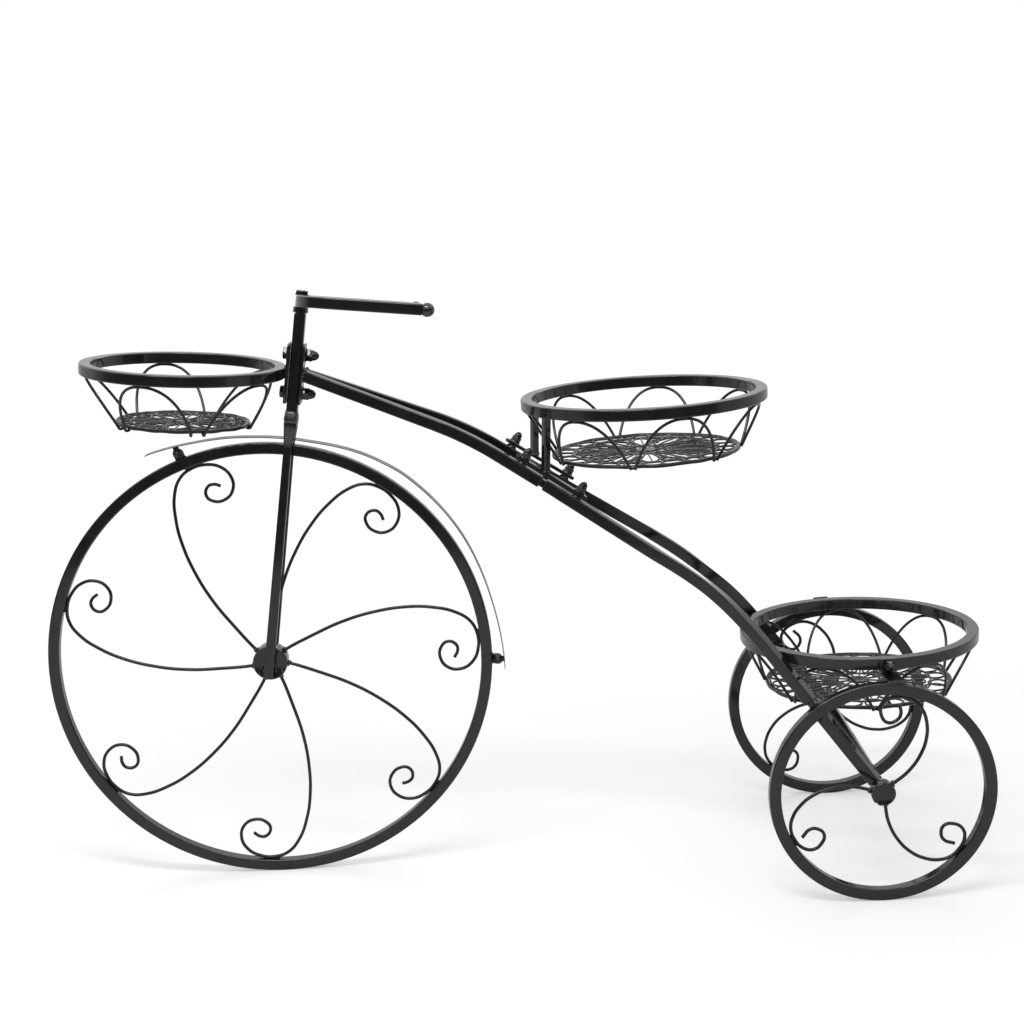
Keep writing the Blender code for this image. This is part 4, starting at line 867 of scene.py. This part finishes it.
def upright_stations(route):
    """Stations along a route whose side faces stay upright."""
    stations = []
    for i, point in enumerate(route):
        along = direction_at(route, i)
        side = Vector((-along.y, along.x, 0)).normalized()
        stations.append(axes(side, along.cross(side), along, point))
    return stations


def stretch(route, start, end):
    """Stations of the part of a route between two lengths along it."""
    count = max(1, ceil((end - start) / ROUTE_STEP))
    return upright_stations([point_on(route, start + (end - start) * i / count) for i in range(count + 1)])


def frame_on(route, x):
    """Frame on a tube's middle line: along it, sideways, and up from its top face."""
    middle = run_to(route, x)
    along = (point_on(route, middle + TUBE_WIDTH) - point_on(route, middle - TUBE_WIDTH)).normalized()
    side = Vector((-along.y, along.x, 0)).normalized()
    return axes(along, side, along.cross(side), point_on(route, middle))


axle_x = front_hub.x
tube_start = steering @ Vector((rear_plate_x + REAR_PLATE_THICKNESS + GAP, 0, PLATE_BOTTOM + TUBE_START_HEIGHT))
side_corners = [(tube_start.x, tube_start.z)]
side_corners += [(axle_x + x, z) for x, z in (FIRST_CORNER, SECOND_CORNER, (WHEELBASE, REAR_WHEEL_RADIUS))]
side_route = rounded(side_corners, SIDE_BENDS)
corner_x, corner_z = SECOND_CORNER
fall = atan2(corner_z - REAR_WHEEL_RADIUS, WHEELBASE - corner_x)
meet_x = corner_x + (corner_z - REAR_BASKET_Z + half_tube) / tan(fall) + half_tube / sin(fall)
ring_edge_y = sqrt(REAR_RING_RADIUS ** 2 - (REAR_BASKET_X - meet_x) ** 2)
flare_slope = (ring_edge_y + half_tube - FLARE_Y) / (meet_x - FLARE_X)
meet_y = ring_edge_y + (half_tube + 0.0012) * hypot(1, flare_slope)
hub_inner_y = REAR_WHEEL_Y - REAR_HUB_LENGTH / 2
stay_slope = (hub_inner_y - half_tube - meet_y) / (WHEELBASE - meet_x)
end_y = hub_inner_y - GAP - half_tube * hypot(1, stay_slope)
plan_corners = [(tube_start.x, 0.0059)]
plan_corners += [(axle_x + x, y) for x, y in (
    (0.170, 0.0228), (0.262, 0.0310), (0.350, 0.0492), (FLARE_X, FLARE_Y), (meet_x, meet_y), (WHEELBASE, end_y),
)]
plan_route = rounded(plan_corners, [PLAN_BEND] * 5, 8)

axle_middle = Vector((axle_x + WHEELBASE, 0, REAR_WHEEL_RADIUS))
toward_axle = Vector((cos(fall), 0, -sin(fall)))
tube_face = (tube_start, rearward)
axle_face = (axle_middle - toward_axle * (half_tube + GAP), toward_axle)
seam = JOINT_SEAM / 2
routes = {}
for side, sign in SIDES:
    route = []
    for low, high in zip(side_route, side_route[1:]):
        count = max(1, round((high - low).length / ROUTE_STEP))
        for i in range(count):
            place = low + (high - low) * (i / count)
            route.append(Vector((place.x, sign * value_at(plan_route, place.x), place.y)))
    route.append(Vector((axle_middle.x, sign * end_y, REAR_WHEEL_RADIUS)))
    routes[side] = route
    first_joint = run_to(route, axle_x + FIRST_JOINT_X)
    second_joint = run_to(route, axle_x + SECOND_JOINT_X)
    tube_end = run_to(route, axle_middle.x) - half_tube
    for name, node, start, end, cuts in (
        ("front_tube_", "front_frame_tube_", 0, first_joint - seam, (tube_face, None)),
        ("rear_tube_", "rear_frame_tube_", first_joint + seam, second_joint - seam, ()),
        ("stay_", "rear_stay_", second_joint + seam, tube_end, (None, axle_face)),
    ):
        bar(name + side, square, stretch(route, start, end), [node + side], cuts=cuts)
    necks_bm = bmesh.new()
    neck = flat_section(NECK_WIDTH, NECK_WIDTH)
    for joint in (first_joint, second_joint):
        swept(necks_bm, neck, stretch(route, joint - NECK_REACH, joint + NECK_REACH))
    fitted("tube_necks_" + side, necks_bm, tube_enamel, "frame_paint", edge=THIN_EDGE)

    welds = Welds(61 + sign)
    start = stretch(route, 0, ROUTE_STEP)[0]
    for x, y in ((-0.8, 0.9), (-0.2, 1.0), (0.5, 0.95), (0.95, 0.5), (-1.0, 0.3), (-0.95, -0.5), (0.2, -1.0)):
        spot = start @ Vector((x * half_tube, y * half_tube, 0.0008))
        welds.bead(spot, sideways if abs(y) > 0.9 else lean, 0.0052, 0.0015)
    meet = point_on(route, run_to(route, axle_x + meet_x) - 0.006)
    touch = meet + Vector((0.0005, -sign * (half_tube + 0.0006), 0.0045))
    welds.bead(touch, toward_axle, 0.0130, 0.0017)
    for joint in (first_joint, second_joint):
        station = stretch(route, joint - seam - 0.0006, joint - seam)[0]
        for i in range(5):
            spot = station @ Vector((welds.chance.uniform(-1, 1) * 0.0045, 0.0048, 0))
            welds.bead(spot, (1, 0, 0), 0.0030, 0.0007)
    stay_end = point_on(route, tube_end)
    for turn in (30, 80, 130, 200, 260, 320):
        spot = stay_end + upright @ polar(0.0052, radians(turn), sign * 0.0035)
        welds.bead(spot, sideways, 0.0050, 0.0014)
    welds.fitted("tube_welds_" + side)


# Bracket of the middle basket. A flat strap lies on two studs across the joint of each
# frame tube, held by long acorn nuts, and a square post stands on it up to the ring.

STRAP_LENGTH = 0.072
STRAP_WIDTH = 0.008
STRAP_THICKNESS = 0.003
STRAP_CENTRE_X = 0.2505
STRAP_SKEW = 0.004
STUD_SPACING = 0.056
SHOULDER_HEIGHT = 0.002
POST_WIDTH = 0.0063
POST_EDGE = 0.0011
POST_TURN = radians(30)
POST_TOP_X = 0.2530
POST_TOP_SPREAD = 0.0460
STUD_NUT_FLATS = 0.008
STUD_NUT_HEIGHT = 0.010
MIDDLE_BASKET_DEPTH = 0.0474

middle_basket = basket_place(mounts["middle_pot_seat"], MIDDLE_BASKET_DEPTH)
ring_under = middle_basket @ Vector((0, 0, -half_tube - GAP))
ring_up = middle_basket.to_3x3() @ Vector((0, 0, 1))
strap_bottom = half_tube + SHOULDER_HEIGHT + GAP
strap_top = strap_bottom + STRAP_THICKNESS
for side, sign in SIDES:
    place = frame_on(routes[side], axle_x + STRAP_CENTRE_X - sign * STRAP_SKEW)
    faces = [place @ shift(z=level) for level in (strap_bottom, strap_top)]
    outline = clipped(STRAP_LENGTH, STRAP_WIDTH, STRAP_WIDTH * 0.28, 1)
    bar("strap_" + side, outline, faces, ["bracket_strap_" + side], edge=LUG_EDGE)

    foot = place @ Vector((-POST_WIDTH, 0, strap_top - 0.0005))
    head = Vector((axle_x + POST_TOP_X - sign * STRAP_SKEW, sign * POST_TOP_SPREAD, ring_under.z))
    along = (head - foot).normalized()
    side_way = along.cross(Vector((1, 0, 0))).normalized()
    ends = [axes(side_way, along.cross(side_way), along, end) @ spin(POST_TURN) for end in (foot, head)]
    cuts = ((foot, place.to_3x3() @ Vector((0, 0, 1))), (ring_under, ring_up))
    bar("post_" + side, flat_section(POST_WIDTH, POST_WIDTH), ends, cuts=cuts, edge=POST_EDGE)

    welds = Welds(71 + sign)
    for turn in all_round(7):
        around = polar(POST_WIDTH * 0.60, turn)
        tangent = (-around.y, around.x, 0)
        welds.bead(foot + around * 0.95 + along * 0.0008, tangent, 0.0045, 0.0013)
        welds.bead(head + around * 0.85 - along * 0.0006, tangent, 0.0042, 0.0011)
    shoulders_bm = bmesh.new()
    for end, x in (("front", -STUD_SPACING / 2), ("rear", STUD_SPACING / 2)):
        turned(shoulders_bm, [
            (0.0042, 0), (0.0040, 0.0006), (0.0038, 0.0010), (0.0038, SHOULDER_HEIGHT + 0.0006),
        ], place @ shift(x, 0, half_tube - 0.0006), 24)
        acorn_nut(
            "strap_acorn_%s_%s" % (end, side), STUD_NUT_FLATS, STUD_NUT_HEIGHT,
            place @ shift(x, 0, strap_top + GAP), "bracket_cap_nut_%s_%s" % (end, side),
        )
        for turn in all_round(6):
            around = polar(0.0040, turn + pi / 6, half_tube + 0.0002)
            welds.bead(place @ (Vector((x, 0, 0)) + around), (0, 0, 1), 0.0022, 0.0011)
    fitted("strap_shoulders_" + side, shoulders_bm, tube_enamel, "frame_paint")
    welds.fitted("post_welds_" + side)


# Middle basket. As the front basket but wider, with seven arches whose feet meet in
# pairs on the floor's hoop, and a butt weld in its ring beside the near post.

MIDDLE_RING_RADIUS = 0.1081
WIDE_FLOOR_RADIUS = 0.0835
WIDE_BASKET = {"arches": 7, "spacing": PAIRED_FOOT_SPACING, "leaves": 12, "eyes": 24}

basket(
    "middle_basket", middle_basket, MIDDLE_RING_RADIUS, WIDE_FLOOR_RADIUS, MIDDLE_BASKET_DEPTH,
    first=radians(232), seam=radians(218), seed=81, **WIDE_BASKET,
)


# Rear wheels and axle. Each wheel is a small hoop of the square tube with three scrolls
# round a plain hub. The axle is a length of the same tube, turned to lie square to the
# stays that are welded to it, and it stops at the inner face of each hub.

REAR_HUB_RADIUS = 0.010
REAR_SCROLL_SHARES = (
    (0.100, 0.090), (0.203, 0.260), (0.285, 0.470), (0.297, 0.640), (0.262, 0.790),
    (0.185, 0.915), (0.085, 0.985), (-0.030, 1.000), (-0.155, 0.965), (-0.218, 0.880),
    (-0.200, 0.780), (-0.125, 0.715), (-0.045, 0.745), (-0.010, 0.815), (-0.050, 0.925),
)
REAR_SCROLL_TURNS = ((76.5, 205.5, 318.0), (110.5, 230.5, 350.5))
REAR_WELD_TURNS = (-24, 150)

for (side, sign), turns, weld_turn in zip(SIDES, REAR_SCROLL_TURNS, REAR_WELD_TURNS):
    wheel = Matrix.Translation(axle_middle + sideways * (sign * REAR_WHEEL_Y)) @ upright
    rim = "rear_wheel_rim_" + side
    hoop("rear_rim_" + side, wheel, REAR_WHEEL_RADIUS, SMALL_HOOP_STATIONS, "wheel_paint", rim)
    welds = Welds(91 + sign)
    welds.collar(wheel, radians(weld_turn), REAR_WHEEL_RADIUS, length=0.0030, proud=0.0003)
    hub_disc("rear_hub_" + side, wheel, REAR_HUB_RADIUS, REAR_HUB_LENGTH, "rear_wheel_hub_" + side)
    near = wheel.translation - Vector((0, REAR_HUB_LENGTH / 2, 0))
    for turn in (60, 95, 130, 165, 190, 215, 250):
        edge = upright @ polar(1, radians(turn))
        spot = near + edge * 0.0096 + Vector((0, 0.0014, 0))
        welds.bead(spot, edge.cross(sideways), 0.0050, 0.0012)
    welds.fitted("rear_rim_welds_" + side, "wheel_paint")
    scroll_set(
        "rear_scroll_" + side, "rear_wheel_scroll_" + side, wheel, turns, REAR_SCROLL_SHARES, hand=-1,
        rim_radius=REAR_WHEEL_RADIUS, hub_radius=REAR_HUB_RADIUS, seed=95 + sign,
    )

axle_half = hub_inner_y - GAP
axle_turn = spin(-pi / 2, "X") @ spin(fall)
axle_ends = [Matrix.Translation(axle_middle + sideways * y) @ axle_turn for y in (-axle_half, axle_half)]
bar("axle", square, axle_ends, ["rear_axle"])


# Rear basket. The lowest of the three, level between the rear wheels, with seven arches
# and a lace floor like the middle one.

REAR_BASKET_DEPTH = 0.0455

rear_basket = basket_place(mounts["rear_pot_seat"], REAR_BASKET_DEPTH)
basket(
    "rear_basket", rear_basket, REAR_RING_RADIUS, WIDE_FLOOR_RADIUS, REAR_BASKET_DEPTH,
    first=radians(37), seam=radians(236), seed=101, **WIDE_BASKET,
)


# Ties of the rear basket. An angle of flat strip at each side: its flange is held on the
# ring by an acorn nut on a stud, and its level leg is welded on top of the wheel's rim.

TIE_WIDTH = 0.014
TIE_THICKNESS = 0.002
TIE_BEND = 0.0012
TIE_TOP = 0.0055
TIE_TURNS = {"left": radians(2.1 - 90), "right": radians(7.7 + 90)}

tie_inner = REAR_RING_RADIUS + GAP
tie_face = tie_inner + TIE_THICKNESS
tie_outer = REAR_WHEEL_Y + half_tube
tie_floor = 2 * REAR_WHEEL_RADIUS - REAR_BASKET_Z + GAP
tie_deck = tie_floor + TIE_THICKNESS
tie_section = [
    (tie_inner, tie_floor + TIE_BEND, 0), (tie_inner + TIE_BEND, tie_floor, 0), (tie_outer, tie_floor, 0),
    (tie_outer, tie_deck, 0), (tie_face + TIE_BEND, tie_deck, 0), (tie_face, tie_deck + TIE_BEND, 0),
    (tie_face, TIE_TOP, 0), (tie_inner, TIE_TOP, 0),
]
welds = Welds(111)
for side, turn in TIE_TURNS.items():
    place = rear_basket @ spin(turn)
    ends = [place @ upright @ shift(z=z) for z in (-TIE_WIDTH / 2, TIE_WIDTH / 2)]
    bar("tie_" + side, tie_section, ends, ["rear_tie_plate_" + side], edge=PLATE_EDGE)
    seat = place @ shift(tie_face + GAP) @ facing_rear
    acorn_nut("tie_acorn_" + side, STUD_NUT_FLATS, STUD_NUT_HEIGHT, seat, "rear_tie_cap_nut_" + side)
    for step in (-0.0062, -0.0030, 0.0, 0.0030, 0.0062):
        for reach in (tie_outer - 0.0008, tie_outer - 0.0098):
            spot = place @ Vector((reach, step, tie_floor - 0.0002))
            welds.bead(spot, (1, 0, 0), 0.0040, 0.0012)
welds.fitted("tie_welds")


# Handlebar. A square tube bent to a U and turned a little to the far side, with a ball
# on a short neck in each end. One hex bolt down through its middle holds it on the
# collar, and it swings on that bolt, so the bar and the balls ride on their own body.

BAR_WIDTH = 0.0096
BAR_HALF_SPAN = 0.080
BAR_REACH = 0.100
BAR_RISE = 0.0032
BAR_BEND = 0.034
BAR_SEAT = 0.016
BAR_YAW = radians(5.4)
BAR_ROLL = radians(5.5)
BALL_RADIUS = 0.0061
BALL_ROWS = 18
NECK_RADIUS = 0.0040

pivot_point = Vector(swivel["pos_m"])
pivot = Matrix.Translation(pivot_point) @ steering.to_3x3().to_4x4() @ spin(BAR_YAW)


def bar_point(x, y):
    """Point of the bar: level at its seat, then tilted sideways and rising to its ends."""
    beyond = max(abs(y) - BAR_SEAT / 2, 0)
    return Vector((x, y, BAR_RISE * x / BAR_REACH - copysign(beyond, y) * tan(BAR_ROLL)))


half_route = [(0, 0), (0, BAR_SEAT / 2), (0, BAR_SEAT / 2 + 0.012)]
for i in range(17):
    turn = pi / 2 * i / 16
    half_route.append((BAR_BEND * (1 - cos(turn)), BAR_HALF_SPAN - BAR_BEND + BAR_BEND * sin(turn)))
half_route += [(BAR_REACH * share + BAR_BEND * (1 - share), BAR_HALF_SPAN) for share in (0.35, 0.7, 1.0)]
bar_route = [bar_point(x, -y) for x, y in half_route[:0:-1]] + [bar_point(x, y) for x, y in half_route]
bar_stations = [pivot @ station for station in upright_stations(bar_route)]
bar_section = flat_section(BAR_WIDTH, BAR_WIDTH)
bar("bar", bar_section, bar_stations, ["handlebar"], "handlebar_paint", body="steering_bar")

ball_enamel = enamel("ball_enamel", grey=0.008, dull=0.12, shine=0.06, coat=1.0)
drop = sqrt(BALL_RADIUS ** 2 - NECK_RADIUS ** 2) - 0.0005
first = asin(NECK_RADIUS / BALL_RADIUS)
ball_rows = [(NECK_RADIUS, -0.001), (NECK_RADIUS, 0.0002)]
for i in range(BALL_ROWS + 1):
    angle = first + (pi * 0.985 - first) * i / BALL_ROWS
    ball_rows.append((BALL_RADIUS * sin(angle), drop - BALL_RADIUS * cos(angle)))
balls_bm = bmesh.new()
for end, inside in (bar_route[:2], bar_route[:-3:-1]):
    turn = (end - inside).normalized().to_track_quat("Z", "Y").to_matrix().to_4x4()
    turned(balls_bm, ball_rows, pivot @ Matrix.Translation(end) @ turn, 40)
fitted("bar_balls", balls_bm, ball_enamel, "handlebar_paint", body="steering_bar")

bolt_seat = (pivot_point - front_hub).length + BAR_WIDTH / 2 + GAP
hex_head("bar_bolt_head", BOLT_FLATS, BOLT_HEAD_HEIGHT, steering @ shift(z=bolt_seat), "handlebar_bolt")


# Floor. A sheet of white studio card the stand rests on. It shows as white, and the
# light that the stand keeps off it shows as a soft shadow.

FLOOR_HALF = 9.0
FLOOR_FRONT = -1.3
CARD_THICKNESS = 0.01

floor_bm = bmesh.new()
floor_middle = (FLOOR_HALF + FLOOR_FRONT) / 2
swept(floor_bm, flat_section(2 * FLOOR_HALF, FLOOR_HALF - FLOOR_FRONT), [
    shift(0, floor_middle, level) for level in (-CARD_THICKNESS, 0)
])
studio_floor = placed("studio_floor", made(floor_bm, "studio_floor", 30))
card = bpy.data.materials.new("white_card")
card.use_nodes = True
tree = card.node_tree
place = wired(tree, "ShaderNodeTexCoord")["Object"]
fibre = wired(tree, "ShaderNodeTexNoise", {"Scale": 90, "Vector": place})["Fac"]
tone = wired(tree, "ShaderNodeMapRange", {"To Min": 0.78, "To Max": 0.80, "Value": fibre})["Result"]
away = wired(tree, "ShaderNodeVectorMath", {0: place}, operation="LENGTH")["Value"]
lift = wired(tree, "ShaderNodeMapRange", {
    "From Min": 0.7, "From Max": 2.2, "To Min": 0.41, "To Max": 0.60, "Value": away,
})["Result"]
watched = wired(tree, "ShaderNodeLightPath")["Is Camera Ray"]
plug(tree, tree.nodes["Principled BSDF"], {
    "Base Color": tone, "Roughness": 0.9, "Specular IOR Level": 0.0, "Emission Color": (1, 1, 1, 1),
    "Emission Strength": wired(tree, "ShaderNodeMath", {0: watched, 1: lift}, operation="MULTIPLY")["Value"],
})
studio_floor.data.materials.append(card)


# Studio. White all round for the camera; what the enamel mirrors is white overhead and
# light behind the stand, and dark on the viewer's side, as in a studio with a dark front
# wall. A plain level of light, and two soft lamps high up, in front of and behind it.

PLAIN_LEVEL = 0.55
DARK_WALL = 0.10
BRIGHT_WALLS = (("Z", 0.10, 0.55, 1.0), ("Y", -0.15, 0.35, 0.65))
LAMP_AIM = Vector((0, 0, 0.25))
LAMPS = (("over_box", 1.0, 0.22, 8.5, (-0.25, -0.75, 1.6)), ("back_box", 1.6, 0.4, 3.0, (0.1, 1.5, 1.3)))

world = bpy.data.worlds.new("studio")
bpy.context.scene.world = world
world.use_nodes = True
sky = world.node_tree
ray = wired(sky, "ShaderNodeLightPath")
ways = wired(sky, "ShaderNodeSeparateXYZ", {"Vector": wired(sky, "ShaderNodeTexCoord")["Generated"]})
walls = [
    wired(sky, "ShaderNodeMapRange", {
        "From Min": low, "From Max": high, "To Min": DARK_WALL, "To Max": bright, "Value": ways[axis],
    }, interpolation_type="SMOOTHSTEP")["Result"]
    for axis, low, high, bright in BRIGHT_WALLS
]


def combined(operation, first, second):
    """Math node of two values."""
    return wired(sky, "ShaderNodeMath", {0: first, 1: second}, operation=operation)["Value"]


mirrored = combined("MULTIPLY", ray["Is Glossy Ray"], combined("MAXIMUM", *walls))
seen = combined("MAXIMUM", ray["Is Camera Ray"], ray["Is Transmission Ray"])
unseen = combined("SUBTRACT", 1.0, combined("MAXIMUM", seen, ray["Is Glossy Ray"]))
lighting = combined("MULTIPLY", unseen, PLAIN_LEVEL)
plug(sky, sky.nodes["Background"], {
    "Color": (1, 1, 1, 1), "Strength": combined("ADD", combined("ADD", seen, mirrored), lighting),
})

for name, width, height, power, place in LAMPS:
    lamp = bpy.data.lights.new(name, "AREA")
    lamp.shape = "RECTANGLE"
    lamp.size = width
    lamp.size_y = height
    lamp.energy = power
    fixture = placed(name, lamp)
    fixture.location = place
    fixture.rotation_euler = (LAMP_AIM - Vector(place)).to_track_quat("-Z", "Y").to_euler()
    fixture.visible_camera = False


# Camera. At the height of a seated viewer on the near side, square to the stand and
# tipped down, with a slight lean to the left as in the photograph.

CAMERA_PLACE = Vector((0.0018, -1.5303, 0.640))
CAMERA_RIGHT = Vector((0.9989, -0.0117, -0.0462))
CAMERA_UP = Vector((0.0476, 0.2004, 0.9786))
CAMERA_LENS = 61.7

camera_data = bpy.data.cameras.new("camera")
camera_data.lens = CAMERA_LENS
camera_data.sensor_width = 36
camera_data.clip_end = 50
camera = placed("camera", camera_data)
right = CAMERA_RIGHT.normalized()
back = right.cross(CAMERA_UP).normalized()
camera.matrix_world = axes(right, back.cross(right), back, CAMERA_PLACE)
bpy.context.scene.camera = camera
bpy.context.scene.view_settings.view_transform = "Standard"
